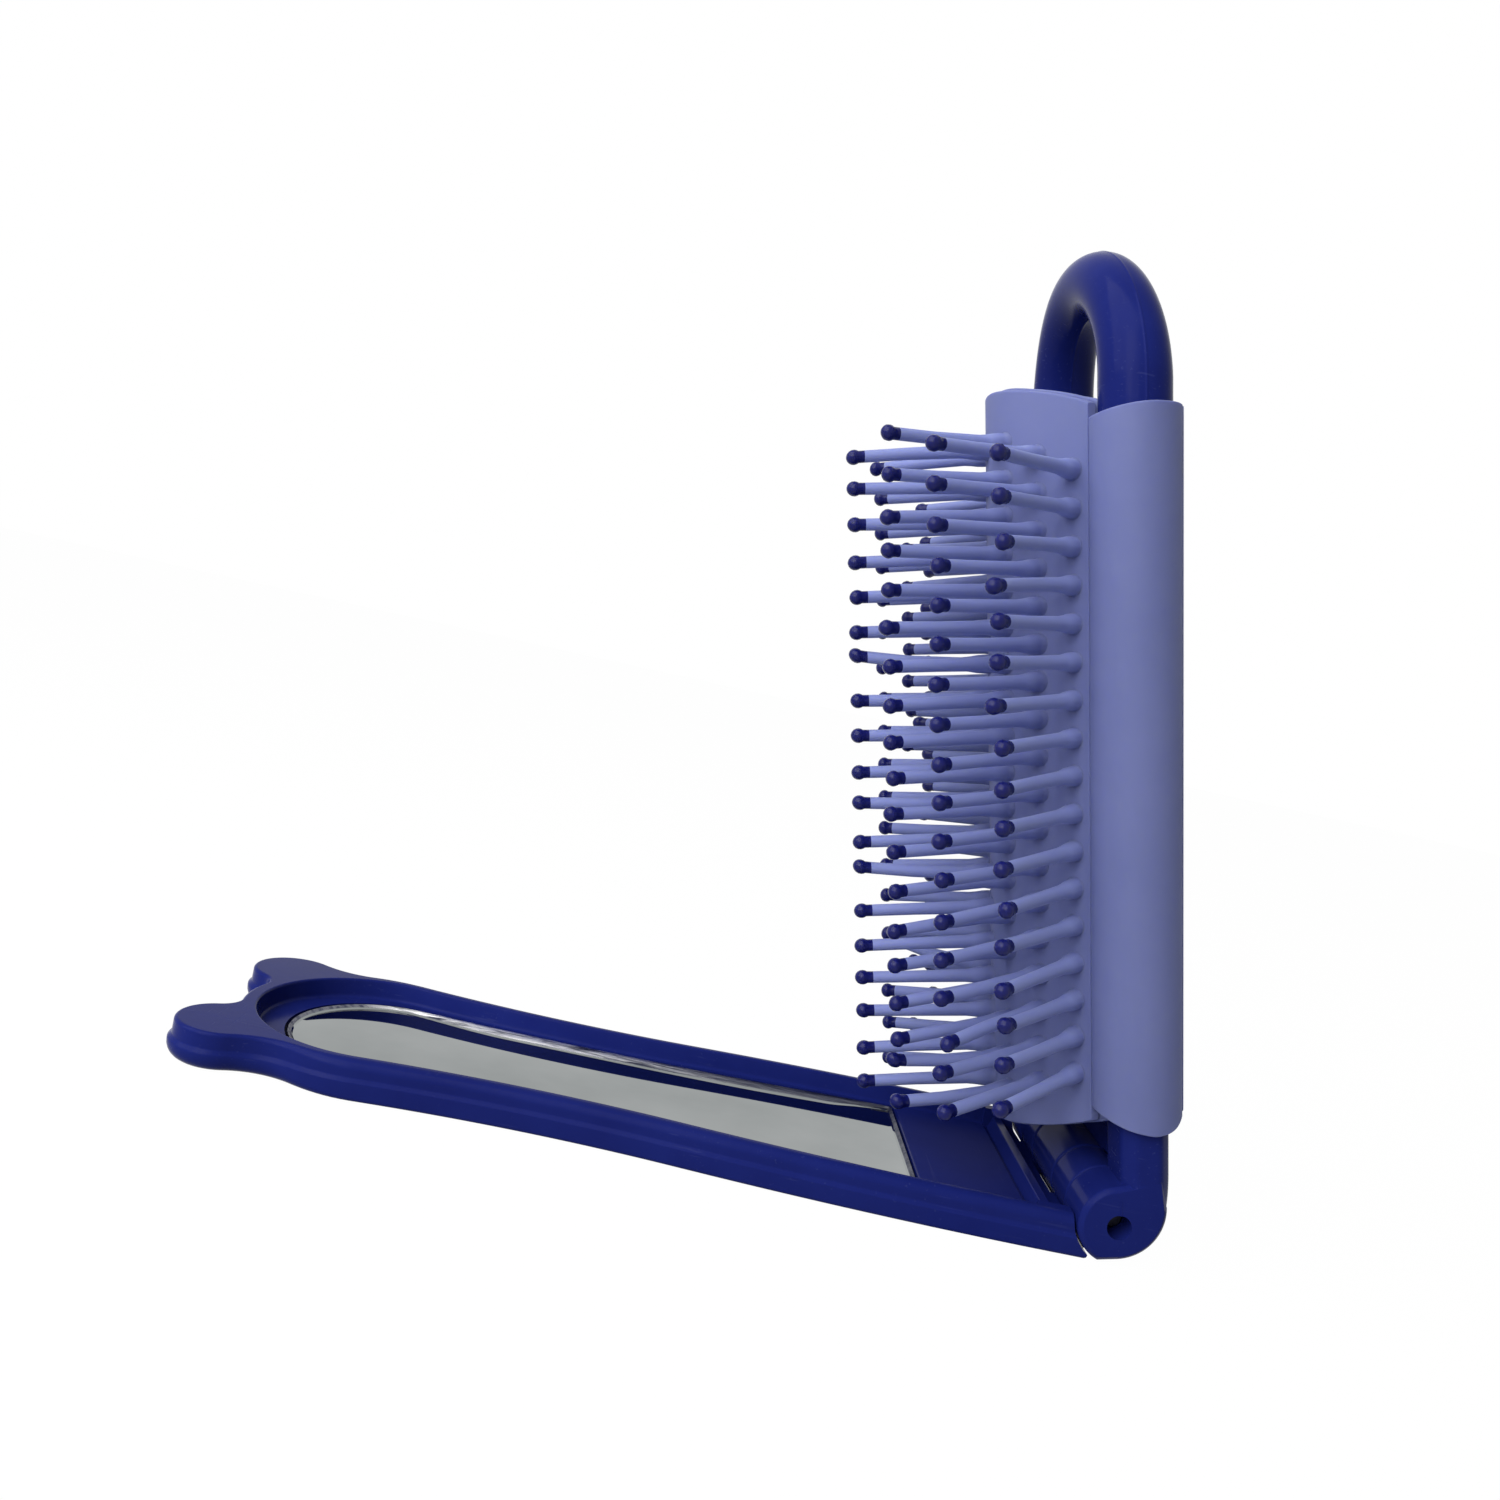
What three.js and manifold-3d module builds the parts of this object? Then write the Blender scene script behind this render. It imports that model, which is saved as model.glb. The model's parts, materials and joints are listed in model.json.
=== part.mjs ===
// Pocket brush that folds onto a mirror case, in millimetres with +Z up.
// The case lies flat, the hinge runs along Y and the brush leans over the mirror.
import * as THREE from 'three';
import { mergeVertices } from 'three/addons/utils/BufferGeometryUtils.js';
import Module from 'manifold-3d';

const wasm = await Module();
wasm.setup();

// Gaps and overruns that all pieces share
const moldGap = 0.3;
const overrun = 1.0;

// Pose in the photograph: how far the brush leans from square, towards the mirror
const leanDegrees = 13.7;

// Mirror case outline, measured from the hinge axis
const caseHingeX = 50.0;
const caseStart = 2.4;
const shoulderAt = 13.2;
const shoulderHalf = 16.35;
const waistAt = 61.0;
const waistHalf = 14.1;
const headAt = 83.0;
const headRadius = 15.5;
const earAt = 96.7;
const earSide = 10.6;
const earRadius = 5.3;
const neckFillet = 8.0;
const valleyFillet = 2.6;

// Mirror case walls
const caseHeight = 4.25;
const caseEdgeRound = 0.5;
const sideStepHeight = 2.1;
const sideStepInset = 0.35;
const rimTopRound = 0.4;
const rimWidth = 1.75;
const recessDepth = 2.25;
const recessDraft = 0.25;
const recessStart = 8.0;
const ribStart = 5.3;
const ribWidth = 2.1;
const ribHalf = 13.2;
const ribRise = 1.35;
const ribTopWidth = 1.2;
const grooveWidth = 0.5;
const grooveDepth = 0.35;

// Mirror plate and the adhesive sheet that holds it
const mirrorStart = 20.0;
const mirrorShoulderHalf = 13.2;
const mirrorWaistHalf = 11.0;
const mirrorHeadAt = 81.1;
const mirrorHeadRadius = 11.6;
const mirrorThickness = 0.9;
const mirrorBevel = 0.3;
const adhesiveThickness = 0.2;
const adhesiveInset = 1.2;

// Hinge
const hingeRise = 0.05;
const knuckleRadius = 4.0;
const lugRadius = 4.2;
const lugMeetDegrees = 176.0;
const heelRadius = 4.65;
const heelBack = 0.3;
const heelUp = 1.3;
const heelMeetDegrees = 197.0;
const lugChamfer = 0.45;
const pinRadius = 1.2;
const pinFit = 0.1;
const pinRecess = 2.6;
const pinChamfer = 0.25;
const middleKnuckleHalf = 4.4;
const caseKnuckleLength = 5.6;
const lugLength = 6.1;
const swingClearance = 0.35;

// Brush frame, measured from the hinge axis with the brush upright
const rodRadius = 3.7;
const legBack = 3.0;
const archStart = 87.2;
const archBend = 0.8;
const footTop = 11.0;
const footFront = 0.55;
const footBack = 5.4;
const footChamfer = 1.3;
const webTop = 9.5;
const webFront = 0.9;
const webThickness = 2.4;
const webHollow = 0.9;

// Sleeve that wraps the legs, and the arched pad across its front
const sleeveMiddle = 47.6;
const sleeveHalfLength = 36.1;
const sleeveWall = 0.7;
const channelTopCrown = 0.6;
const channelBottomCrown = 1.6;
const slitWidth = 0.7;
const slitDegrees = 28.0;
const slitBridge = 1.4;
const slitBridgeBelowTop = 5.0;
const noseRadius = 10.0;
const flankDegrees = 42.0;
const creaseDegrees = 18.0;
const creaseFillet = 4.5;
const padThickness = 1.0;
const backSheetThickness = 0.8;
const padCrown = 5.1;

// Pins: seven columns, the middle one first and then outwards
const pinFieldDrop = 0.9;
const pinPitch = 4.0;
const pinEndMargin = 4.7;
const pinColumnStep = 4.43;
const pinFanDegrees = [0, 22, 35, 46];
const pinLength = 15.8;
const pinCollarRadius = 1.05;
const pinCollarHeight = 0.9;
const pinRootRadius = 0.75;
const pinNeckRadius = 0.62;
const pinBallRadius = 0.92;
const ballNeckShare = 0.8;
const ballBeltShare = 0.35;
const pinSunk = 0.5;

// Facets
const roundSides = 28;
const rodSides = 14;
const archSteps = 20;
const pinSides = 5;

// Places that follow from the sizes
const boreRadius = pinRadius + pinFit;
const hingeHeight = caseHeight + hingeRise;
const knuckleRoom = knuckleRadius + swingClearance;
const lugRoom = lugRadius + swingClearance;
const caseKnuckleFrom = middleKnuckleHalf + moldGap;
const caseKnuckleTo = caseKnuckleFrom + caseKnuckleLength;
const lugFrom = caseKnuckleTo + moldGap;
const lugTo = lugFrom + lugLength;
const legSide = lugTo - rodRadius;
const channelInner = rodRadius + moldGap;
const channelOuter = channelInner + sleeveWall;
const recessFloor = caseHeight - recessDepth;
const mirrorBack = recessFloor - mirrorThickness;
const pocketFloor = mirrorBack - adhesiveThickness;
const padLow = sleeveMiddle - sleeveHalfLength - padCrown - overrun;
const padHigh = sleeveMiddle + sleeveHalfLength + padCrown + overrun;
const radians = THREE.MathUtils.degToRad;

// Materials
const navy = { color: 0x141c6e, roughness: 0.28, metalness: 0.0 };
const lilac = { color: 0x8088c4, roughness: 0.62, metalness: 0.0 };
const silver = { color: 0xd8dcde, roughness: 0.05, metalness: 1.0 };
const tape = { color: 0xd9d6cc, roughness: 0.8, metalness: 0.0 };
const steel = { color: 0xa4a8ac, roughness: 0.35, metalness: 1.0 };

// Solids and meshes

// Turn a closed geometry into a solid that can be cut and joined
function solid(geometry) {
  const bare = geometry.clone();
  bare.deleteAttribute('normal');
  bare.deleteAttribute('uv');
  const merged = mergeVertices(bare, 1e-5);
  return new wasm.Manifold(new wasm.Mesh({
    numProp: 3,
    vertProperties: new Float32Array(merged.attributes.position.array),
    triVerts: new Uint32Array(merged.index.array),
  }));
}

function joined(solids) {
  return solids.reduce((whole, piece) => whole.add(piece));
}

function meshOf(name, piece, look) {
  const { vertProperties, triVerts } = piece.getMesh();
  const geometry = new THREE.BufferGeometry();
  geometry.setAttribute('position', new THREE.BufferAttribute(vertProperties, 3));
  geometry.setIndex(new THREE.BufferAttribute(triVerts, 1));
  geometry.computeVertexNormals();
  const mesh = new THREE.Mesh(geometry, new THREE.MeshStandardMaterial(look));
  mesh.name = name;
  return mesh;
}

// Points of an arc from one angle to another, both ends included
function arc(center, radius, from, to, steps) {
  return Array.from({ length: steps + 1 }, (_, index) => {
    const angle = from + (to - from) * index / steps;
    return new THREE.Vector2(center.x + radius * Math.cos(angle), center.y + radius * Math.sin(angle));
  });
}

function circle(center, radius, sides = roundSides) {
  return arc(center, radius, 0, 2 * Math.PI, sides).slice(1);
}

function angleOf(from, to) {
  return Math.atan2(to.y - from.y, to.x - from.x);
}

// Stack closed outlines with the same number of points into one closed solid
function loft(levels) {
  const count = levels[0].points.length;
  const places = levels.flatMap(({ points, z }) => points.flatMap(({ x, y }) => [x, y, z]));
  const faces = [];
  for (let level = 0; level + 1 < levels.length; level += 1) {
    for (let index = 0; index < count; index += 1) {
      const next = (index + 1) % count;
      const low = level * count;
      const high = low + count;
      faces.push(low + index, low + next, high + next, low + index, high + next, high + index);
    }
  }
  const lid = THREE.ShapeUtils.triangulateShape(levels[0].points, []);
  const top = (levels.length - 1) * count;
  lid.forEach(([a, b, c]) => faces.push(a, c, b, top + a, top + b, top + c));
  const geometry = new THREE.BufferGeometry();
  geometry.setAttribute('position', new THREE.Float32BufferAttribute(places, 3));
  geometry.setIndex(faces);
  return solid(geometry);
}

// Extrude a flat outline along Z between two heights
function prism(points, bottom, top) {
  return loft([{ points, z: bottom }, { points, z: top }]);
}

// Extrude an outline drawn in X and Z along Y, between two sides
function prismAlongY(points, from, to) {
  const flat = points.map(({ x, y }) => new THREE.Vector2(x, -y)).reverse();
  return prism(flat, from, to).transform(new THREE.Matrix4().makeRotationX(-Math.PI / 2).elements);
}

// Extrude an outline drawn in Y and Z along X, between two depths
function prismAlongX(points, from, to) {
  const turn = new THREE.Matrix4().set(0, 0, 1, 0, 1, 0, 0, 0, 0, 1, 0, 0, 0, 0, 0, 1);
  return prism(points, from, to).transform(turn.elements);
}

function rectangle(left, bottom, right, top) {
  return [[left, bottom], [right, bottom], [right, top], [left, top]]
    .map(([x, y]) => new THREE.Vector2(x, y));
}

// A round bar along Y about a point in X and Z
function barAlongY(x, z, radius, from, to, sides = roundSides) {
  const geometry = new THREE.CylinderGeometry(radius, radius, to - from, sides);
  geometry.translate(x, (from + to) / 2, z);
  return solid(geometry);
}

function mirrored(piece) {
  return piece.mirror([0, 1, 0]);
}

// Outline of the case and of the mirror

// Radii and centres of the arcs that run tangent into each other along one side
function sideArcs({ shoulder, waist, head, radius }) {
  const run = head - waistAt;
  const waistRadius = (run * run + waist * waist - radius * radius) / (2 * (radius - waist));
  const rise = shoulder - waist;
  const reach = waistAt - shoulderAt;
  const shoulderRadius = (reach * reach / rise + rise) / 2 - waistRadius;
  return {
    shoulder: { center: new THREE.Vector2(shoulderAt, shoulder - shoulderRadius), radius: shoulderRadius },
    waist: { center: new THREE.Vector2(waistAt, waist + waistRadius), radius: waistRadius },
    head: { center: new THREE.Vector2(head, 0), radius },
  };
}

// The side from the hinge end to the head, shrunk by an inset
function sidePoints(arcs, start, inset) {
  const shoulderRadius = arcs.shoulder.radius - inset;
  const startAngle = Math.acos((start - arcs.shoulder.center.x) / shoulderRadius);
  const tangent = angleOf(arcs.shoulder.center, arcs.waist.center);
  const headTangent = angleOf(arcs.waist.center, arcs.head.center);
  return [
    ...arc(arcs.shoulder.center, shoulderRadius, startAngle, tangent, 4),
    ...arc(arcs.waist.center, arcs.waist.radius + inset, tangent - Math.PI, headTangent, 12).slice(1),
  ];
}

// Centre of the fillet that touches two circles from outside, left or right of the line between them
function filletCenter(first, second, fillet, side) {
  const near = first.radius + fillet;
  const far = second.radius + fillet;
  const gap = first.center.distanceTo(second.center);
  const along = (gap * gap + near * near - far * far) / (2 * gap);
  const across = Math.sqrt(near * near - along * along) * side;
  const line = second.center.clone().sub(first.center).normalize();
  const normal = new THREE.Vector2(-line.y, line.x);
  return first.center.clone().addScaledVector(line, along).addScaledVector(normal, across);
}

// From the head round the ear and back to the tip of the head, shrunk by an inset
function earPoints(head, inset) {
  const ear = { center: new THREE.Vector2(earAt, earSide), radius: earRadius };
  const neck = filletCenter(head, ear, neckFillet, 1);
  const valley = filletCenter(head, ear, valleyFillet, -1);
  const fullTurn = 2 * Math.PI;
  const headStart = angleOf(sideArcs(caseSizes).waist.center, head.center) + Math.PI;
  const neckStart = angleOf(neck, head.center) + fullTurn;
  const neckEnd = angleOf(neck, ear.center) + fullTurn;
  const valleyStart = angleOf(valley, ear.center);
  const valleyEnd = angleOf(valley, head.center) + fullTurn;
  return [
    ...arc(head.center, head.radius - inset, headStart, angleOf(head.center, neck), 3).slice(1, -1),
    ...arc(neck, neckFillet + inset, neckStart, neckEnd, 4),
    ...arc(ear.center, earRadius - inset, angleOf(ear.center, neck), angleOf(ear.center, valley), 12).slice(1, -1),
    ...arc(valley, valleyFillet + inset, valleyStart, valleyEnd, 4),
    ...arc(head.center, head.radius - inset, angleOf(head.center, valley), 0, 3).slice(1),
  ];
}

const caseSizes = { shoulder: shoulderHalf, waist: waistHalf, head: headAt, radius: headRadius };
const mirrorSizes = {
  shoulder: mirrorShoulderHalf, waist: mirrorWaistHalf, head: mirrorHeadAt, radius: mirrorHeadRadius,
};

// Close a half outline over the middle line and place it, hinge end to the right
function closedOutline(half) {
  const back = half.slice().reverse().filter(({ y }) => y > 1e-6).map(({ x, y }) => new THREE.Vector2(x, -y));
  return [...half, ...back].map(({ x, y }) => new THREE.Vector2(caseHingeX - x, -y)).reverse();
}

// Outline with a plain round head, for the recess and the mirror
function plainOutline(sizes, start, inset) {
  const arcs = sideArcs(sizes);
  const tangent = angleOf(arcs.waist.center, arcs.head.center) + Math.PI;
  const head = arc(arcs.head.center, arcs.head.radius - inset, tangent, 0, 12).slice(1);
  return closedOutline([...sidePoints(arcs, start, inset), ...head]);
}

function caseOutline(inset) {
  const arcs = sideArcs(caseSizes);
  return closedOutline([...sidePoints(arcs, caseStart + inset, inset), ...earPoints(arcs.head, inset)]);
}

// Mirror case

// The outer shell: a rounded foot, a lower band and a slightly narrower upper band
function caseShell() {
  return loft([
    { points: caseOutline(caseEdgeRound), z: 0 },
    { points: caseOutline(0), z: caseEdgeRound },
    { points: caseOutline(0), z: sideStepHeight },
    { points: caseOutline(sideStepInset), z: sideStepHeight + sideStepInset },
    { points: caseOutline(sideStepInset), z: caseHeight - rimTopRound },
    { points: caseOutline(sideStepInset + rimTopRound), z: caseHeight },
  ]);
}

function caseRecess() {
  const wall = sideStepInset + rimWidth;
  return loft([
    { points: plainOutline(caseSizes, recessStart, wall + recessDraft), z: recessFloor },
    { points: plainOutline(caseSizes, recessStart, wall), z: caseHeight + overrun },
  ]);
}

function mirrorPocket() {
  return prism(plainOutline(mirrorSizes, mirrorStart - moldGap, -moldGap), pocketFloor, caseHeight + overrun);
}

// The low floor between the rib and the hinge, and the groove before the rib
function hingeFloorCuts() {
  const ribEnd = ribStart + ribWidth;
  const floor = rectangle(caseHingeX - recessStart - overrun, recessFloor, caseHingeX, caseHeight + overrun);
  const groove = rectangle(caseHingeX - ribEnd - grooveWidth, recessFloor - grooveDepth,
    caseHingeX - ribEnd, caseHeight + overrun);
  return joined([
    prismAlongY(floor, -ribHalf - moldGap, ribHalf + moldGap),
    prismAlongY(groove, -ribHalf, ribHalf),
  ]);
}

// The rib that stiffens the case beside the hinge, with sloping flanks
function caseRib() {
  const slope = (ribWidth - ribTopWidth) / 2;
  const right = caseHingeX - ribStart;
  const left = right - ribWidth;
  const ribTop = recessFloor + ribRise;
  return prismAlongY([
    new THREE.Vector2(left, pocketFloor), new THREE.Vector2(right, pocketFloor),
    new THREE.Vector2(right, recessFloor), new THREE.Vector2(right - slope, ribTop),
    new THREE.Vector2(left + slope, ribTop), new THREE.Vector2(left, recessFloor),
  ], -ribHalf, ribHalf);
}

// One knuckle of the case with the arm that carries it
function caseKnuckle() {
  const arm = rectangle(caseHingeX - ribStart, caseEdgeRound, caseHingeX, recessFloor);
  return joined([
    barAlongY(caseHingeX, hingeHeight, knuckleRadius, caseKnuckleFrom, caseKnuckleTo),
    prismAlongY(arm, caseKnuckleFrom, caseKnuckleTo),
  ]);
}

// Room for the lugs and the middle knuckle of the brush to swing
function swingRoom(radius, from, to) {
  return barAlongY(caseHingeX, hingeHeight, radius, from, to, roundSides * 2);
}

function mirrorCase() {
  const knuckle = caseKnuckle();
  const outer = swingRoom(lugRoom, caseKnuckleTo, lugTo + overrun);
  const inner = swingRoom(knuckleRoom, -caseKnuckleFrom, caseKnuckleFrom);
  return caseShell()
    .subtract(caseRecess())
    .subtract(hingeFloorCuts())
    .add(caseRib())
    .subtract(mirrorPocket())
    .subtract(joined([outer, mirrored(outer), inner]))
    .add(joined([knuckle, mirrored(knuckle)]))
    .subtract(barAlongY(caseHingeX, hingeHeight, boreRadius, -lugTo, lugTo));
}

function mirrorPlate() {
  return loft([
    { points: plainOutline(mirrorSizes, mirrorStart, 0), z: mirrorBack },
    { points: plainOutline(mirrorSizes, mirrorStart, 0), z: recessFloor - mirrorBevel },
    { points: plainOutline(mirrorSizes, mirrorStart + mirrorBevel, mirrorBevel), z: recessFloor },
  ]);
}

function adhesiveSheet() {
  const outline = plainOutline(mirrorSizes, mirrorStart + adhesiveInset, adhesiveInset);
  return prism(outline, pocketFloor, mirrorBack);
}

// The pin through all knuckles, with small end chamfers
function hingePin() {
  const half = lugTo - pinRecess;
  const profile = [
    [0, -half], [pinRadius - pinChamfer, -half], [pinRadius, pinChamfer - half],
    [pinRadius, half - pinChamfer], [pinRadius - pinChamfer, half], [0, half],
  ].map(([x, y]) => new THREE.Vector2(x, y));
  const geometry = new THREE.LatheGeometry(profile, roundSides);
  geometry.translate(caseHingeX, 0, hingeHeight);
  return solid(geometry);
}

// Brush frame

// Centre line of the frame rod: up one leg, round the finger loop, which bends forward, and down again
class FramePath extends THREE.Curve {
  getPointAt(share) {
    const place = share * (archSteps + 2) - 1;
    const angle = Math.PI * Math.min(Math.max(place / archSteps, 0), 1);
    const below = Math.max(-place, place - archSteps, 0) * archStart;
    const front = legBack - archBend * Math.sin(angle) ** 2;
    const height = archStart + legSide * Math.sin(angle) - below;
    return new THREE.Vector3(front, -legSide * Math.cos(angle), height);
  }

  getTangentAt(share) {
    const place = share * (archSteps + 2) - 1;
    const angle = Math.PI * Math.min(Math.max(place / archSteps, 0), 1);
    const bend = -archBend * Math.sin(2 * angle);
    return new THREE.Vector3(bend, legSide * Math.sin(angle), legSide * Math.cos(angle)).normalize();
  }
}

function frameRod() {
  const section = new THREE.Shape(circle(new THREE.Vector2(), rodRadius, rodSides));
  return solid(new THREE.ExtrudeGeometry(section, { steps: archSteps + 2, extrudePath: new FramePath() }));
}

// The lug round the pin: a circle in front and above, and a flatter heel below and behind
function lugProfile(inset) {
  const heel = new THREE.Vector2(heelBack, heelUp);
  return [
    ...arc(new THREE.Vector2(), lugRadius - inset, Math.PI / 2, radians(lugMeetDegrees), roundSides / 4),
    ...arc(heel, heelRadius - inset, radians(heelMeetDegrees), 2 * Math.PI, roundSides / 2),
  ];
}

function frameLug() {
  const turn = new THREE.Matrix4().makeRotationX(-Math.PI / 2);
  const flat = (inset) => lugProfile(inset).map(({ x, y }) => new THREE.Vector2(x, -y)).reverse();
  return loft([
    { points: flat(lugChamfer), z: lugFrom },
    { points: flat(0), z: lugFrom + lugChamfer },
    { points: flat(0), z: lugTo - lugChamfer },
    { points: flat(lugChamfer), z: lugTo },
  ]).transform(turn.elements);
}

// The square foot between the lug and the round leg, chamfered in front
function frameFoot() {
  const side = lugTo;
  return prism([
    new THREE.Vector2(footFront, lugFrom), new THREE.Vector2(footBack, lugFrom),
    new THREE.Vector2(footBack, side - footChamfer), new THREE.Vector2(footBack - footChamfer, side),
    new THREE.Vector2(footFront + footChamfer, side), new THREE.Vector2(footFront, side - footChamfer),
  ], 0, footTop);
}

// The hollow-fronted web that joins the two feet above the hinge
function frameWeb() {
  const middle = webTop / 2;
  const hollow = (middle * middle + webHollow * webHollow) / (2 * webHollow);
  const reach = Math.asin(middle / hollow);
  const front = arc(new THREE.Vector2(webFront + webHollow - hollow, middle), hollow, -reach, reach, 8);
  const back = webFront + webHollow + webThickness;
  return prismAlongY([
    new THREE.Vector2(back, 0), new THREE.Vector2(back, webTop), ...front.reverse(),
  ], -lugFrom - overrun, lugFrom + overrun);
}

function brushFrame() {
  const lug = frameLug();
  const foot = frameFoot();
  const room = barAlongY(0, 0, knuckleRoom, middleKnuckleHalf, lugFrom, roundSides * 2);
  const web = frameWeb().subtract(joined([room, mirrored(room)]));
  const knuckle = barAlongY(0, 0, knuckleRadius, -middleKnuckleHalf, middleKnuckleHalf);
  const rodFloor = prism(rectangle(-lugTo, -lugTo, lugTo, lugTo), -lugRadius - overrun, footTop / 2);
  return frameRod()
    .subtract(rodFloor)
    .add(joined([lug, mirrored(lug), foot, mirrored(foot), web, knuckle]))
    .subtract(barAlongY(0, 0, boreRadius, -lugTo - overrun, lugTo + overrun));
}

// Sleeve and pad

// Places along the arched front: the nose, a straight flank and a hollow run into the crease
function padSection() {
  const flank = radians(flankDegrees);
  const outward = new THREE.Vector2(-Math.cos(flank), Math.sin(flank));
  const crease = radians(creaseDegrees);
  const fillet = new THREE.Vector2(legBack - channelOuter * Math.cos(crease) - creaseFillet,
    legSide + channelOuter * Math.sin(crease));
  const end = fillet.clone().addScaledVector(outward, -creaseFillet);
  const rise = end.y - noseRadius * outward.y;
  const start = new THREE.Vector2(end.x - rise * outward.y / Math.cos(flank), noseRadius * outward.y);
  const nose = start.clone().addScaledVector(outward, -noseRadius);
  return { flank, nose, outward, start, fillet, end, front: nose.x - noseRadius };
}

// Half of the arched front from the nose to the crease, set back by a depth
function padHalfPoints(depth) {
  const { flank, nose, outward, start, fillet, end } = padSection();
  const inward = outward.clone().multiplyScalar(-depth);
  const crease = arc(fillet, creaseFillet + depth, -flank, 0, 5);
  return [
    ...arc(nose, noseRadius - depth, Math.PI, Math.PI - flank, 7),
    start.clone().add(inward).lerp(end.clone().add(inward), 1 / 2),
    ...crease,
  ];
}

// The closed section of a sheet between two depths behind the arched front
function sheetOutline(front, back) {
  const whole = (depth) => {
    const half = padHalfPoints(depth);
    return [...half.slice(1).reverse().map(({ x, y }) => new THREE.Vector2(x, -y)), ...half];
  };
  return [...whole(back), ...whole(front).reverse()];
}

// Radius of the arc that crowns the pad's ends
function padCrownRadius() {
  const halfWidth = padSection().fillet.y + overrun / 2;
  return (halfWidth * halfWidth + padCrown * padCrown) / (2 * padCrown);
}

// The arched sheet with crowned ends
function archedSheet(front, back) {
  const radius = padCrownRadius();
  const reach = Math.asin(Math.min((padSection().fillet.y + overrun / 2) / radius, 1));
  const rise = sleeveHalfLength + padCrown - radius;
  const up = Math.PI / 2;
  const crowned = prismAlongX([
    ...arc(new THREE.Vector2(0, sleeveMiddle + rise), radius, up - reach, up + reach, 14),
    ...arc(new THREE.Vector2(0, sleeveMiddle - rise), radius, -up - reach, reach - up, 14),
  ], padSection().front - overrun, legBack);
  return prism(sheetOutline(front, back), padLow, padHigh).intersect(crowned);
}

// The channel that wraps one leg, with crowned ends
function legChannel() {
  const center = new THREE.Vector2(legBack, legSide);
  const high = sleeveMiddle + sleeveHalfLength;
  const low = sleeveMiddle - sleeveHalfLength;
  const tube = (radius, bottom, top) => prism(circle(center, radius), bottom, top);
  const crownArc = (base, crown, up) => {
    const radius = (channelOuter * channelOuter + crown * crown) / (2 * crown);
    const reach = Math.asin(channelOuter / radius);
    const middle = new THREE.Vector2(legBack, base + Math.sign(up) * (crown - radius));
    return arc(middle, radius, up - reach, up + reach, 6);
  };
  const crowned = prismAlongY([
    ...crownArc(high, channelTopCrown, Math.PI / 2),
    ...crownArc(low, channelBottomCrown, -Math.PI / 2),
  ], legSide - channelOuter - overrun, legSide + channelOuter + overrun);
  return tube(channelOuter, low - channelBottomCrown, high + channelTopCrown)
    .intersect(crowned)
    .subtract(tube(channelInner, low - channelBottomCrown - overrun, high + channelTopCrown + overrun));
}

// The slit along the back of a channel, which a small bridge crosses near the top
function channelSlit() {
  const turn = radians(slitDegrees);
  const line = new THREE.Vector2(Math.cos(turn), Math.sin(turn));
  const across = new THREE.Vector2(-line.y, line.x).multiplyScalar(slitWidth / 2);
  const center = new THREE.Vector2(legBack, legSide);
  const near = center.clone().addScaledVector(line, channelInner - sleeveWall);
  const far = center.clone().addScaledVector(line, channelOuter + sleeveWall);
  const outline = [
    near.clone().sub(across), far.clone().sub(across), far.clone().add(across), near.clone().add(across),
  ];
  const bridgeTop = sleeveMiddle + sleeveHalfLength - slitBridgeBelowTop;
  return joined([
    prism(outline, sleeveMiddle - sleeveHalfLength - channelBottomCrown - overrun, bridgeTop - slitBridge),
    prism(outline, bridgeTop, sleeveMiddle + sleeveHalfLength + channelTopCrown + overrun),
  ]);
}

function bristleSleeve() {
  const channel = legChannel();
  const legRoom = prism(circle(new THREE.Vector2(legBack, legSide), channelInner), padLow, padHigh);
  const front = padThickness + moldGap;
  const sheet = archedSheet(front, front + backSheetThickness);
  const slit = channelSlit();
  return joined([channel, mirrored(channel), sheet])
    .subtract(joined([legRoom, mirrored(legRoom)]))
    .subtract(joined([slit, mirrored(slit)]));
}

// Place, direction and number of pins of a column at its distance along the arched front
function columnPlace(column) {
  const { nose, outward, start, flank } = padSection();
  const along = pinColumnStep * column;
  const noseLength = noseRadius * flank;
  const turn = Math.min(along / noseRadius, flank);
  const onNose = new THREE.Vector2(nose.x - noseRadius * Math.cos(turn), noseRadius * Math.sin(turn));
  const past = Math.max(along - noseLength, 0);
  const downFlank = new THREE.Vector2(outward.y, -outward.x);
  const place = past > 0 ? start.clone().addScaledVector(downFlank, past) : onNose;
  const radius = padCrownRadius();
  const crown = padCrown - radius + Math.sqrt(radius * radius - place.y * place.y);
  const count = 1 + Math.floor(2 * (sleeveHalfLength + crown - pinEndMargin) / pinPitch);
  return { place, fan: radians(pinFanDegrees[column]), count };
}

// One pin: a flared collar, a tapering shaft and a ball end
function pinSolid() {
  const ball = pinLength - pinBallRadius;
  const belt = pinBallRadius * ballBeltShare;
  const beltRadius = Math.sqrt(pinBallRadius * pinBallRadius - belt * belt);
  const profile = [
    [0, -pinSunk], [pinCollarRadius, -pinSunk], [pinRootRadius, pinCollarHeight],
    [pinNeckRadius, ball - pinBallRadius * ballNeckShare],
    [beltRadius, ball - belt], [beltRadius, ball + belt], [0, pinLength],
  ].map(([x, y]) => new THREE.Vector2(x, y));
  return solid(new THREE.LatheGeometry(profile, pinSides));
}

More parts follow.
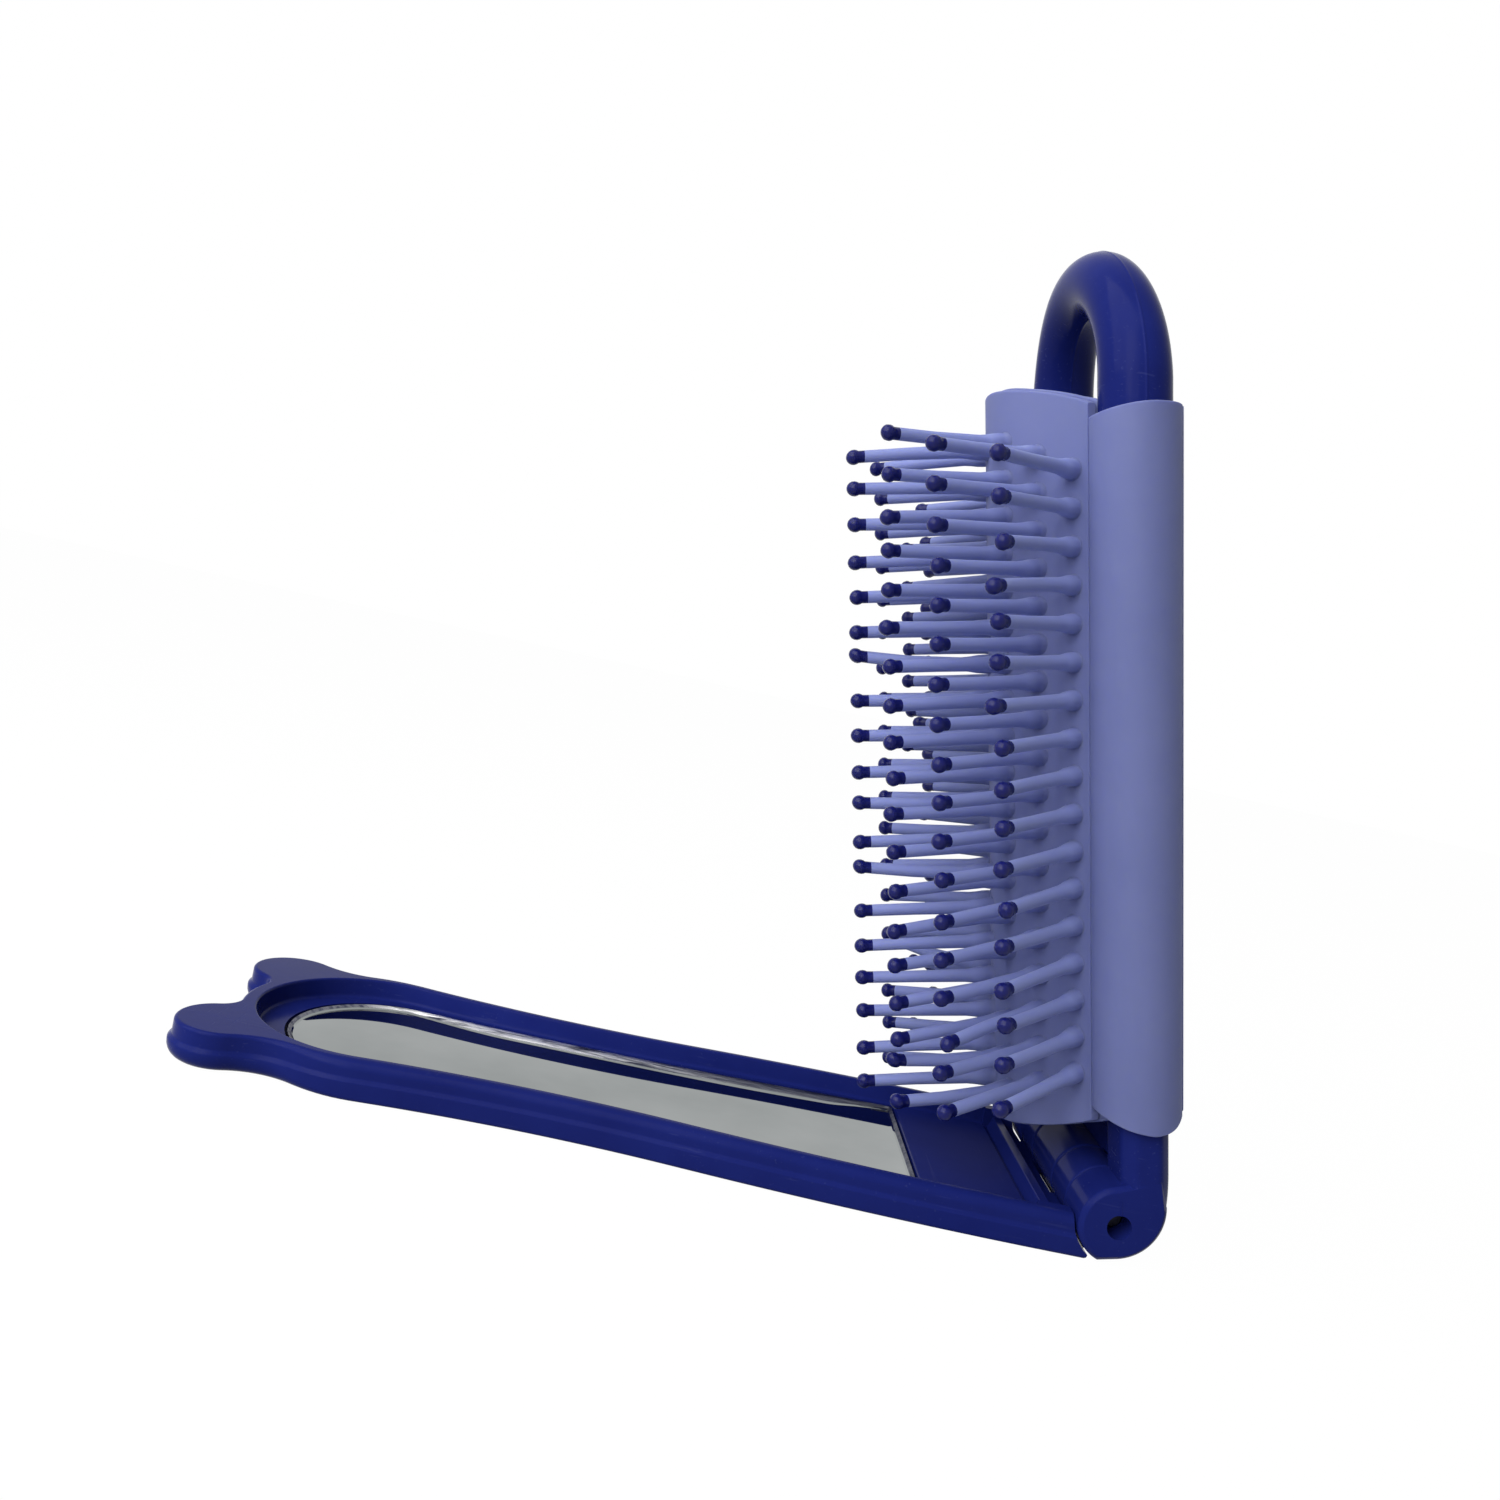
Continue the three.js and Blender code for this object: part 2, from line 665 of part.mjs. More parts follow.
// The pins of one column, side +1 away from the viewer and -1 towards the viewer
function pinColumn(column, side) {
  const { place, fan, count } = columnPlace(column);
  const direction = new THREE.Vector3(-Math.cos(fan), side * Math.sin(fan), 0);
  const turn = new THREE.Quaternion().setFromUnitVectors(new THREE.Vector3(0, 1, 0), direction);
  const pin = pinSolid();
  return Array.from({ length: count }, (_, row) => {
    const height = sleeveMiddle - pinFieldDrop + ((count - 1) / 2 - row) * pinPitch;
    const where = new THREE.Vector3(place.x, side * place.y, height);
    return pin.transform(new THREE.Matrix4().compose(where, turn, new THREE.Vector3(1, 1, 1)).elements);
  });
}

// A slice of the pad between two planes square to the arched front, with its pins
function padSlice(columns, slicePrism) {
  const leg = new THREE.Vector2(legBack, legSide);
  const channelRoom = prism(circle(leg, channelOuter + moldGap), padLow, padHigh);
  const sheet = archedSheet(0, padThickness)
    .intersect(slicePrism)
    .subtract(joined([channelRoom, mirrored(channelRoom)]));
  return joined([sheet, ...columns.flatMap(([column, side]) => pinColumn(column, side))]);
}

// The wedge of space that holds the middle slice or, mirrored, one outer slice
function sliceWedges() {
  const { nose, outward, start, front } = padSection();
  const out = start.clone().addScaledVector(outward, overrun);
  const shift = new THREE.Vector2(outward.y, -outward.x).multiplyScalar(moldGap / 2);
  const lower = ({ x, y }) => new THREE.Vector2(x, -y);
  const innerOut = out.clone().sub(shift);
  const innerTip = innerOut.clone().addScaledVector(outward, -innerOut.y / outward.y);
  const outerTip = nose.clone().add(shift);
  const outerOut = out.clone().add(shift);
  const tip = new THREE.Vector2(front - overrun, 0);
  const corner = new THREE.Vector2(legBack, legSide);
  const middle = prism([tip, lower(innerOut), innerTip, innerOut], padLow, padHigh);
  const farCorner = new THREE.Vector2(outerOut.x, legSide + overrun);
  const side = prism([outerTip, corner, farCorner, outerOut], padLow, padHigh);
  return { middle, side };
}

const { middle: middleWedge, side: sideWedge } = sliceWedges();

// Assembly
const caseGroup = new THREE.Group();
caseGroup.add(
  meshOf('mirror_case', mirrorCase(), navy),
  meshOf('mirror_plate', mirrorPlate(), silver),
  meshOf('mirror_adhesive', adhesiveSheet(), tape),
  meshOf('hinge_pin', hingePin(), steel),
);

const brushGroup = new THREE.Group();
brushGroup.position.set(caseHingeX, 0, hingeHeight);
brushGroup.rotation.y = -radians(leanDegrees);
brushGroup.add(
  meshOf('brush_frame', brushFrame(), navy),
  meshOf('bristle_sleeve', bristleSleeve(), lilac),
  meshOf('pin_pad_middle', padSlice([[0, 1], [1, 1], [1, -1]], middleWedge), lilac),
  meshOf('pin_pad_far', padSlice([[2, 1], [3, 1]], sideWedge), lilac),
  meshOf('pin_pad_near', padSlice([[2, -1], [3, -1]], mirrored(sideWedge)), lilac),
);

const pocketBrush = new THREE.Group();
pocketBrush.add(caseGroup, brushGroup);

export default pocketBrush;
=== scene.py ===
"""Looks of a pocket brush that folds onto a mirror case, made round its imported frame.

The case lies flat, the hinge runs along Y, and the brush leans over the mirror. Shapes are worked
out in millimetres and turned into metres where they become meshes.
"""

import json
import logging
import math
from dataclasses import dataclass
from enum import Enum

import bmesh
import bpy
import numpy as np
from mathutils import Matrix, Vector


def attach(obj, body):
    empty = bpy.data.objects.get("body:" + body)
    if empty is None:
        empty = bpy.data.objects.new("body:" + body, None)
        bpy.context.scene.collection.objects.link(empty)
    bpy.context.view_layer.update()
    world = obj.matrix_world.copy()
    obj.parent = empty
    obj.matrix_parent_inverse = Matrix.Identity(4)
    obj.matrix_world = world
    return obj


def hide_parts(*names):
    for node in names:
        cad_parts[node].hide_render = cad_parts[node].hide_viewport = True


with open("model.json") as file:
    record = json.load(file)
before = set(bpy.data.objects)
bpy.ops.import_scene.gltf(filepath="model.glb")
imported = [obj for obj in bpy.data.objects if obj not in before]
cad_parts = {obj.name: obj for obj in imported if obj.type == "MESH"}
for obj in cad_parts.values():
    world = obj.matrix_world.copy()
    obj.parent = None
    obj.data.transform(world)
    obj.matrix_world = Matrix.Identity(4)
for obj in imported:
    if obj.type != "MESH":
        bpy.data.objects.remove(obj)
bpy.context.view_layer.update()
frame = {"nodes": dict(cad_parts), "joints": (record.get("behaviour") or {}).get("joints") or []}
MILLIMETRE = 0.001
LOG = logging.getLogger("pocket_brush")

Colour = tuple[float, float, float]
WHITE: Colour = (1.0, 1.0, 1.0)


class Body(Enum):
    """The two bodies that the hinge joins."""

    CASE = "case"
    BRUSH = "brush"


class Slot(Enum):
    """The record's finish slots."""

    HARD = "blue_plastic"
    SOFT = "lilac_rubber"
    MIRROR = "mirror"


class Join(Enum):
    """How one solid is combined with another."""

    ADD = "UNION"
    CUT = "DIFFERENCE"


class Side(Enum):
    """The side of the middle plane, seen from the viewer."""

    NEAR = -1
    FAR = 1


# Curves

def arc(center: tuple[float, float], radius: float, start: float, end: float, count: int) -> np.ndarray:
    """Give the points of an arc, both ends included.

    Formula: the centre plus the radius times the cosine and sine of evenly spaced angles.

    Args:
        center: Centre in the plane of the arc.
        radius: Radius in millimetres.
        start: First angle in radians.
        end: Last angle in radians.
        count: Number of points.

    Returns:
        An array of count by 2.
    """
    angles = np.linspace(start, end, count)
    return np.asarray(center) + radius * np.stack([np.cos(angles), np.sin(angles)], axis=1)


def angle_of(start: np.ndarray, end: np.ndarray) -> float:
    """Give the angle of the line from one point to another."""
    return math.atan2(end[1] - start[1], end[0] - start[0])


def smooth_step(low: float, high: float, value: np.ndarray) -> np.ndarray:
    """Rise from 0 at low to 1 at high, level at both ends."""
    share = np.clip((value - low) / (high - low), 0.0, 1.0)
    return share * share * (3.0 - 2.0 * share)


def hump(value: np.ndarray, center: float, width: float) -> np.ndarray:
    """Give a bell of height 1 about a centre, with the given half width."""
    return np.exp(-((value - center) / width) ** 2)


def past(share: np.ndarray, start: float) -> np.ndarray:
    """Rise evenly from 0 at a starting share to 1 at a share of 1."""
    return np.maximum((share - start) / (1.0 - start), 0.0)


def crown_height(from_middle: np.ndarray, half_width: float, crown: float) -> np.ndarray:
    """Give the height of a circle's cap over its chord.

    Formula: the circle through both ends of the chord and through the crown, so its radius is half
    the sum of the squared half width over the crown and the crown.
    """
    radius = (half_width * half_width / crown + crown) / 2.0
    return crown - radius + np.sqrt(np.maximum(radius * radius - from_middle * from_middle, 0.0))


def rounded_loop(low: np.ndarray, high: np.ndarray, radius: float,
                 steps: int) -> tuple[np.ndarray, np.ndarray]:
    """Give a rectangle with rounded corners for each station of a wall.

    Formula: four quarter circles about the corners set in by the radius, joined by straight sides.

    Args:
        low: Lower corner of each station, stations by 2 (depth, height).
        high: Upper corner of each station, stations by 2.
        radius: Corner radius in millimetres.
        steps: Points in each quarter circle.

    Returns:
        Depths and heights, each points by stations.
    """
    quarter = np.linspace(0.0, math.pi / 2.0, steps)
    depths = []
    heights = []
    for turn, far, top in ((0, 1, 1), (1, 0, 1), (2, 0, 0), (3, 1, 0)):
        angles = quarter + turn * math.pi / 2.0
        depth = high[:, 0] - radius if far else low[:, 0] + radius
        height = high[:, 1] - radius if top else low[:, 1] + radius
        depths.append(depth[None, :] + radius * np.cos(angles)[:, None])
        heights.append(height[None, :] + radius * np.sin(angles)[:, None])
    return np.concatenate(depths), np.concatenate(heights)


# Meshes

class Skin:
    """Closed surfaces gathered from grids of points, with one number marked on each point."""

    def __init__(self) -> None:
        """Start without points."""
        self.points: list[np.ndarray] = []
        self.marks: list[np.ndarray] = []
        self.faces: list[list[int]] = []
        self.count = 0

    def tubes(self, grid: np.ndarray, mark: np.ndarray | None = None) -> "Skin":
        """Add tubes whose columns run round, whose rows follow each other and whose ends have lids.

        Formula: each face joins a point, the next in its row, and the two points of the next row.

        Args:
            grid: Points as tubes by rows by columns by 3.
            mark: Number for each point, shaped like the grid without its last axis.

        Returns:
            This skin.
        """
        tubes, rows, columns, _ = grid.shape
        index = np.arange(tubes * rows * columns).reshape(tubes, rows, columns) + self.count
        low, high = index[:, :-1], index[:, 1:]
        quads = np.stack([low, np.roll(low, -1, axis=2), np.roll(high, -1, axis=2), high], axis=-1)
        self.faces.extend(quads.reshape(-1, 4).tolist())
        self.faces.extend(index[:, 0, ::-1].tolist())
        self.faces.extend(index[:, -1].tolist())
        self.points.append(grid.reshape(-1, 3))
        self.marks.append(np.zeros(index.size) if mark is None else mark.reshape(-1))
        self.count += index.size
        return self

    def tube(self, grid: np.ndarray, mark: np.ndarray | None = None) -> "Skin":
        """Add one tube, as tubes() does for many."""
        return self.tubes(grid[None], None if mark is None else mark[None])

    def build(self, name: str, mark: str | None = None) -> bpy.types.Object:
        """Make the object, with all faces pointing outwards.

        Args:
            name: Name of the object and its mesh.
            mark: Name of the attribute that holds the marks, if they are kept.

        Returns:
            The object, at the origin, with its place in its mesh.
        """
        mesh = bpy.data.meshes.new(name)
        places = np.concatenate(self.points) * MILLIMETRE
        mesh.from_pydata(places.tolist(), [], self.faces)
        if mark:
            layer = mesh.attributes.new(mark, "FLOAT", "POINT")
            layer.data.foreach_set("value", np.concatenate(self.marks).astype(np.float32))
        shell = bmesh.new()
        shell.from_mesh(mesh)
        bmesh.ops.recalc_face_normals(shell, faces=shell.faces)
        shell.to_mesh(mesh)
        shell.free()
        thing = bpy.data.objects.new(name, mesh)
        bpy.context.scene.collection.objects.link(thing)
        return thing


def solids(*grids: np.ndarray) -> list[bpy.types.Object]:
    """Make a solid of each grid, to be joined to a piece or cut from it."""
    return [Skin().tube(grid).build("solid") for grid in grids]


def combine(base: bpy.types.Object, others: list[bpy.types.Object], how: Join) -> bpy.types.Object:
    """Join solids to a base, or cut them from it, and delete them.

    Args:
        base: The solid that stays.
        others: The solids that are used up.
        how: Whether they are added or cut away.

    Returns:
        The base with its new mesh.
    """
    for other in others:
        modifier = base.modifiers.new(how.name, "BOOLEAN")
        modifier.operation = how.value
        modifier.solver = "EXACT"
        modifier.object = other
    bpy.context.view_layer.update()
    shaped = base.evaluated_get(bpy.context.evaluated_depsgraph_get())
    mesh = bpy.data.meshes.new_from_object(shaped)
    mesh.name = base.name
    base.modifiers.clear()
    base.data = mesh
    for other in others:
        bpy.data.objects.remove(other)
    return base


def smooth(thing: bpy.types.Object, crease_degrees: float = 32.0) -> bpy.types.Object:
    """Shade an object smooth, but sharp where its faces meet at more than an angle."""
    thing.data.shade_smooth()
    thing.data.set_sharp_from_angle(angle=math.radians(crease_degrees))
    weights = thing.modifiers.new("even shading", "WEIGHTED_NORMAL")
    weights.keep_sharp = True
    return thing


def stack(outlines: list[np.ndarray], heights: list[float]) -> np.ndarray:
    """Lay outlines of equal length over each other.

    Args:
        outlines: Outlines of points by 2.
        heights: Height of each outline.

    Returns:
        A grid of outlines by points by 3.
    """
    return np.stack([np.column_stack([line, np.full(len(line), height)])
                     for line, height in zip(outlines, heights)])


def stand(outlines: list[np.ndarray], places: list[float]) -> np.ndarray:
    """Stand outlines in X and Z at places along Y, as stack() lays them at heights."""
    return stack(outlines, places)[..., [0, 2, 1]]


def stretch(side: Side, start: float, end: float) -> list[float]:
    """Give both ends of a stretch along Y on one side, the lower one first."""
    return sorted((side.value * start, side.value * end))


def block(x: tuple[float, float], y: tuple[float, float], z: tuple[float, float]) -> np.ndarray:
    """Give the grid of a rectangular cutter between two corners."""
    outline = np.array([[x[0], y[0]], [x[1], y[0]], [x[1], y[1]], [x[0], y[1]]])
    return stack([outline, outline], [z[0], z[1]])


def turned_bar(center: tuple[float, float], profile: np.ndarray, sides: int) -> np.ndarray:
    """Turn a profile about an axis along Y.

    Formula: a point lies at its radius round the axis, by evenly spaced angles, and at its own
    place along Y.

    Args:
        center: X and Z of the axis.
        profile: Radius and Y of each ring, rings by 2.
        sides: Points in each ring.

    Returns:
        A grid of rings by sides by 3.
    """
    angles = np.arange(sides) * 2.0 * math.pi / sides
    radius = profile[:, 0][:, None]
    x = center[0] + radius * np.cos(angles)
    z = center[1] + radius * np.sin(angles)
    return np.stack([x, np.broadcast_to(profile[:, 1][:, None], x.shape), z], axis=-1)


# Material nodes

class Nodes:
    """A short way to place and join shader nodes in one tree."""

    def __init__(self, tree: bpy.types.NodeTree) -> None:
        """Work in a tree, which is emptied first."""
        self.tree = tree
        tree.nodes.clear()

    def add(self, kind: str, values: dict | None = None, **settings: object) -> bpy.types.Node:
        """Place a node.

        Args:
            kind: Node type without its ShaderNode prefix.
            values: Input socket name or number to a value, or to an output socket to link.
            settings: Properties of the node.

        Returns:
            The node.
        """
        node = self.tree.nodes.new("ShaderNode" + kind)
        for name, value in settings.items():
            setattr(node, name, value)
        return self.fill(node, values or {})

    def fill(self, node: bpy.types.Node, values: dict) -> bpy.types.Node:
        """Set a node's inputs to values, and link those whose value is an output socket."""
        for name, value in values.items():
            if isinstance(value, bpy.types.NodeSocket):
                self.tree.links.new(value, node.inputs[name])
            else:
                node.inputs[name].default_value = value
        return node

    def place(self, group: bpy.types.NodeTree, values: dict) -> bpy.types.NodeSocket:
        """Place a shared group, fill its inputs and give its only output."""
        return self.fill(self.add("Group", node_tree=group), values).outputs[0]

    def noise(self, place: bpy.types.NodeSocket, scale: float, detail: float,
              roughness: float = 0.5) -> bpy.types.NodeSocket:
        """Give noise at a place."""
        return self.add("TexNoise", {"Vector": place, "Scale": scale, "Detail": detail,
                                     "Roughness": roughness}).outputs["Fac"]

    def bump(self, height: bpy.types.NodeSocket, strength: object, distance: float) -> bpy.types.NodeSocket:
        """Give a normal that rises and falls with a height, by a distance in metres at most."""
        return self.add("Bump", {"Strength": strength, "Distance": distance, "Height": height}).outputs[0]

    def spread(self, value: bpy.types.NodeSocket, source: tuple[float, float],
               target: tuple[float, float]) -> bpy.types.NodeSocket:
        """Map one range of values onto another, held at its ends."""
        node = self.add("MapRange", {0: value, 1: source[0], 2: source[1], 3: target[0], 4: target[1]})
        return node.outputs[0]

    def maths(self, operation: str, first: object, second: object) -> bpy.types.NodeSocket:
        """Combine two values by a named operation."""
        return self.add("Math", {0: first, 1: second}, operation=operation).outputs[0]

    def blend(self, share: object, first: object, second: object) -> bpy.types.NodeSocket:
        """Mix two colours, a share of 1 giving the second."""
        node = self.add("Mix", {0: share, 6: first, 7: second}, data_type="RGBA")
        return node.outputs[2]

    def tint(self, share: object, first: Colour, second: Colour) -> bpy.types.NodeSocket:
        """Mix two fixed colours, as blend() does."""
        return self.blend(share, with_alpha(first), with_alpha(second))


def new_group(name: str, inputs: dict[str, tuple[str, object]], outputs: dict[str, str]) -> Nodes:
    """Make an empty shared group with named sockets.

    Args:
        name: Name of the group.
        inputs: Input name to its socket type and default, or to a type and None.
        outputs: Output name to its socket type.

    Returns:
        The nodes of the group, with Group Input and Group Output placed.
    """
    tree = bpy.data.node_groups.new(name, "ShaderNodeTree")
    for label, (kind, default) in inputs.items():
        socket = tree.interface.new_socket(label, in_out="INPUT", socket_type="NodeSocket" + kind)
        if default is not None:
            socket.default_value = default
    for label, kind in outputs.items():
        tree.interface.new_socket(label, in_out="OUTPUT", socket_type="NodeSocket" + kind)
    nodes = Nodes(tree)
    tree.nodes.new("NodeGroupInput")
    tree.nodes.new("NodeGroupOutput")
    return nodes


class SharedEffects:
    """The node groups that several materials use."""

    def __init__(self) -> None:
        """Build each group once."""
        self.cloudy = self._cloudy()
        self.scuffs = self._scuffs()

    @staticmethod
    def _cloudy() -> bpy.types.NodeTree:
        """Make soft clouds, from 0 to 1, for uneven colour and gloss."""
        nodes = new_group("cloudy", {"Place": ("Vector", None), "Scale": ("Float", 100.0)},
                          {"Clouds": "Float"})
        source = nodes.tree.nodes["Group Input"].outputs
        wide = nodes.noise(source["Place"], source["Scale"], 4.0, 0.55)
        spread = nodes.spread(wide, (0.3, 0.7), (0.0, 1.0))
        nodes.fill(nodes.tree.nodes["Group Output"], {"Clouds": spread})
        return nodes.tree

    @staticmethod
    def _scuffs() -> bpy.types.NodeTree:
        """Make thin scratches that run in two directions, masked to come and go in patches."""
        nodes = new_group("scuffs", {"Place": ("Vector", None), "Amount": ("Float", 0.5)},
                          {"Scuffs": "Float"})
        source = nodes.tree.nodes["Group Input"].outputs
        masks = []
        for turn, scale in ((0.5, (14.0, 420.0, 420.0)), (-0.9, (430.0, 20.0, 430.0))):
            place = nodes.add("Mapping", {"Vector": source["Place"], "Rotation": (0.2, turn, turn),
                                          "Scale": scale}).outputs[0]
            masks.append(nodes.spread(nodes.noise(place, 6.0, 2.0), (0.66, 0.72), (0.0, 1.0)))
        both = nodes.maths("MAXIMUM", masks[0], masks[1])
        patches = nodes.spread(nodes.noise(source["Place"], 90.0, 3.0), (0.45, 0.62), (0.0, 1.0))
        result = nodes.maths("MULTIPLY", nodes.maths("MULTIPLY", both, patches), source["Amount"])
        nodes.fill(nodes.tree.nodes["Group Output"], {"Scuffs": result})
        return nodes.tree


def with_alpha(colour: Colour) -> tuple[float, float, float, float]:
    """Add a full alpha to a colour."""
    return (*colour, 1.0)


def new_material(name: str) -> tuple[bpy.types.Material, Nodes, bpy.types.Node, bpy.types.NodeSocket]:
    """Start a material with one shader.

    Args:
        name: Name of the material.

    Returns:
        The material, its nodes, its shader, and the place on the object.
    """
    material = bpy.data.materials.new(name)
    material.use_nodes = True
    nodes = Nodes(material.node_tree)
    shader = nodes.add("BsdfPrincipled")
    nodes.add("OutputMaterial", {"Surface": shader.outputs[0]})
    place = nodes.add("TexCoord").outputs["Object"]
    return material, nodes, shader, place


@dataclass(frozen=True)
class GlossyPlastic:
    """Hard moulded plastic, dark blue and glossy, with faint clouds, a fine ripple and scuffs.

    The low panel between the mirror and the rib is satin. It is found by its place along X and by
    its height.
    """

    effects: SharedEffects
    name: str = "dark blue plastic"
    colour: Colour = (0.0085, 0.0145, 0.128)
    cloud_colour: Colour = (0.0105, 0.018, 0.148)
    scuff_colour: Colour = (0.05, 0.06, 0.2)
    gloss: tuple[float, float] = (0.13, 0.24)
    scuff_roughness: float = 0.25
    scuff_paleness: float = 0.35
    scuff_depth: float = 0.4
    shine: float = 0.03
    ripple: float = 0.00004
    panel_from: float = 0.0305
    panel_to: float = 0.0423
    panel_top: float = 0.00215
    panel_roughness: float = 0.6

    def material(self) -> bpy.types.Material:
        """Make the material."""
        material, nodes, shader, place = new_material(self.name)
        clouds = nodes.place(self.effects.cloudy, {"Place": place, "Scale": 130.0})
        scuffs = nodes.place(self.effects.scuffs, {"Place": place, "Amount": 0.7})
        tinted = nodes.tint(clouds, self.colour, self.cloud_colour)
        worn = nodes.blend(nodes.maths("MULTIPLY", scuffs, self.scuff_paleness), tinted,
                           with_alpha(self.scuff_colour))
        rough = nodes.spread(clouds, (0.0, 1.0), self.gloss)
        rough = nodes.maths("ADD", rough, nodes.maths("MULTIPLY", scuffs, self.scuff_roughness))
        axes = nodes.add("SeparateXYZ", {"Vector": place}).outputs
        along = nodes.maths("MULTIPLY", nodes.maths("GREATER_THAN", axes["X"], self.panel_from),
                            nodes.maths("LESS_THAN", axes["X"], self.panel_to))
        panel = nodes.maths("MULTIPLY", along, nodes.maths("LESS_THAN", axes["Z"], self.panel_top))
        rough = nodes.maths("MAXIMUM", rough, nodes.maths("MULTIPLY", panel, self.panel_roughness))
        height = nodes.maths("SUBTRACT", nodes.noise(place, 420.0, 2.0),
                             nodes.maths("MULTIPLY", scuffs, self.scuff_depth))
        nodes.fill(shader, {"Base Color": worn, "Roughness": rough,
                            "Normal": nodes.bump(height, 0.35, self.ripple),
                            "Specular IOR Level": self.shine})
        return material


@dataclass(frozen=True)
class SoftRubber:
    """Soft lilac moulding with a dull skin, whose pins end in a dark glossy dip."""

    effects: SharedEffects
    name: str = "lilac rubber"
    colour: Colour = (0.145, 0.17, 0.37)
    cloud_colour: Colour = (0.165, 0.19, 0.4)
    pin_colour: Colour = (0.24, 0.28, 0.56)
    dip_colour: Colour = (0.007, 0.0095, 0.11)
    dull: tuple[float, float] = (0.5, 0.62)
    dip_gloss: float = 0.16
    shine: float = 0.16
    glow: float = 0.5
    glow_reach: tuple[float, float, float] = (0.0006, 0.0006, 0.0012)
    grain: float = 0.00003

    def material(self) -> bpy.types.Material:
        """Make the material, which reads how dark a point is from the attribute named dip."""
        material, nodes, shader, place = new_material(self.name)
        clouds = nodes.place(self.effects.cloudy, {"Place": place, "Scale": 70.0})
        dip = nodes.add("Attribute", attribute_name="dip").outputs["Fac"]
        pin_share = nodes.spread(dip, (0.0, 0.4), (0.0, 1.0))
        dark_share = nodes.spread(dip, (0.55, 0.75), (0.0, 1.0))
        tinted = nodes.tint(clouds, self.colour, self.cloud_colour)
        paler = nodes.blend(pin_share, tinted, with_alpha(self.pin_colour))
        dipped = nodes.blend(dark_share, paler, with_alpha(self.dip_colour))
        rough = nodes.spread(clouds, (0.0, 1.0), self.dull)
        rough = nodes.maths("MAXIMUM", nodes.maths("SUBTRACT", rough, dark_share), self.dip_gloss)
        nodes.fill(shader, {"Base Color": dipped, "Roughness": rough,
                            "Normal": nodes.bump(nodes.noise(place, 1500.0, 3.0), 0.3, self.grain),
                            "Specular IOR Level": self.shine, "Subsurface Weight": self.glow,
                            "Subsurface Radius": self.glow_reach, "Subsurface Scale": 1.0})
        return material


@dataclass(frozen=True)
class MirrorGlass:
    """Silvered sheet, clear in the middle, with scratch specks along its rolled edges and painted light
    there: a dark blue painted shade for the reflected wall and white painted glints, strongest over a
    stretch along X.
    """

    effects: SharedEffects
    name: str = "mirror"
    colour: Colour = (0.2, 0.22, 0.22)
    # Painted colours of the rolled edge: white for the glints, which also tints the haze, and a dark blue
    # painted shade for the reflected wall.
    painted_glint_and_haze_colour: Colour = (0.95, 0.95, 0.95)
    painted_rim_shade_colour: Colour = (0.06, 0.065, 0.1)
    clear: float = 0.02
    rough_edge: float = 0.3
    rim_from: tuple[float, float] = (0.28, 0.42)
    # Stretch along X, in metres, over which the painted glints rise and then fade.
    painted_glint_from: tuple[float, float] = (-0.038, -0.031)
    painted_glint_until: tuple[float, float] = (-0.01, 0.01)
    cloudiness: float = 0.12
    grain: float = 0.0002

    def material(self) -> bpy.types.Material:
        """Make the material, which reads the way up the rolled edge from the attribute named rise."""
        material, nodes, shader, place = new_material(self.name)
        rise = nodes.add("Attribute", attribute_name="rise").outputs["Fac"]
        rim = nodes.spread(rise, self.rim_from, (0.0, 1.0))
        stretched = nodes.add("Mapping", {"Vector": place, "Scale": (60.0, 620.0, 620.0)}).outputs[0]
        specks = nodes.noise(stretched, 2.6, 7.0, 0.62)
        along = nodes.add("SeparateXYZ", {"Vector": place}).outputs["X"]
        # Painted highlight: the white glints are strongest over a stretch along X and faint outside it.
        rising = nodes.spread(along, self.painted_glint_from, (0.12, 1.0))
        painted_glint_strength = nodes.maths("MULTIPLY", rising, nodes.spread(along, self.painted_glint_until, (1.0, 0.1)))
        painted_glint_specks = nodes.maths("MULTIPLY", nodes.spread(specks, (0.4, 0.53), (0.0, 1.0)), painted_glint_strength)
        # Painted shade and highlight on the rolled edge: dark blue for the reflected wall, white at the
        # glints.
        painted_rim_colour = nodes.tint(painted_glint_specks, self.painted_rim_shade_colour, self.painted_glint_and_haze_colour)
        clouds = nodes.place(self.effects.cloudy, {"Place": place, "Scale": 45.0})
        haze = nodes.maths("MULTIPLY", clouds, self.cloudiness)
        plain = nodes.tint(haze, self.colour, self.painted_glint_and_haze_colour)
        normal = nodes.bump(specks, nodes.maths("MULTIPLY", rim, 0.8), self.grain)
        nodes.fill(shader, {"Base Color": nodes.blend(rim, plain, painted_rim_colour),
                            "Roughness": nodes.spread(rim, (0.0, 1.0), (self.clear, self.rough_edge)),
                            "Normal": normal, "Metallic": 1.0})
        return material


@dataclass(frozen=True)
class PlainSteel:
    """Darkened steel wire with lines along it."""

    effects: SharedEffects
    name: str = "steel wire"
    colour: Colour = (0.02, 0.02, 0.025)
    bright_colour: Colour = (0.05, 0.05, 0.06)
    dull: tuple[float, float] = (0.25, 0.45)
    grain: float = 0.00002

    def material(self) -> bpy.types.Material:
        """Make the material."""
        material, nodes, shader, place = new_material(self.name)
        stretched = nodes.add("Mapping", {"Vector": place, "Scale": (900.0, 20.0, 900.0)}).outputs[0]
        lines = nodes.noise(stretched, 3.0, 4.0)
        clouds = nodes.place(self.effects.cloudy, {"Place": place, "Scale": 300.0})
        nodes.fill(shader, {"Base Color": nodes.tint(clouds, self.colour, self.bright_colour),
                            "Roughness": nodes.spread(lines, (0.3, 0.7), self.dull),
                            "Normal": nodes.bump(lines, 0.4, self.grain), "Metallic": 1.0})
        return material


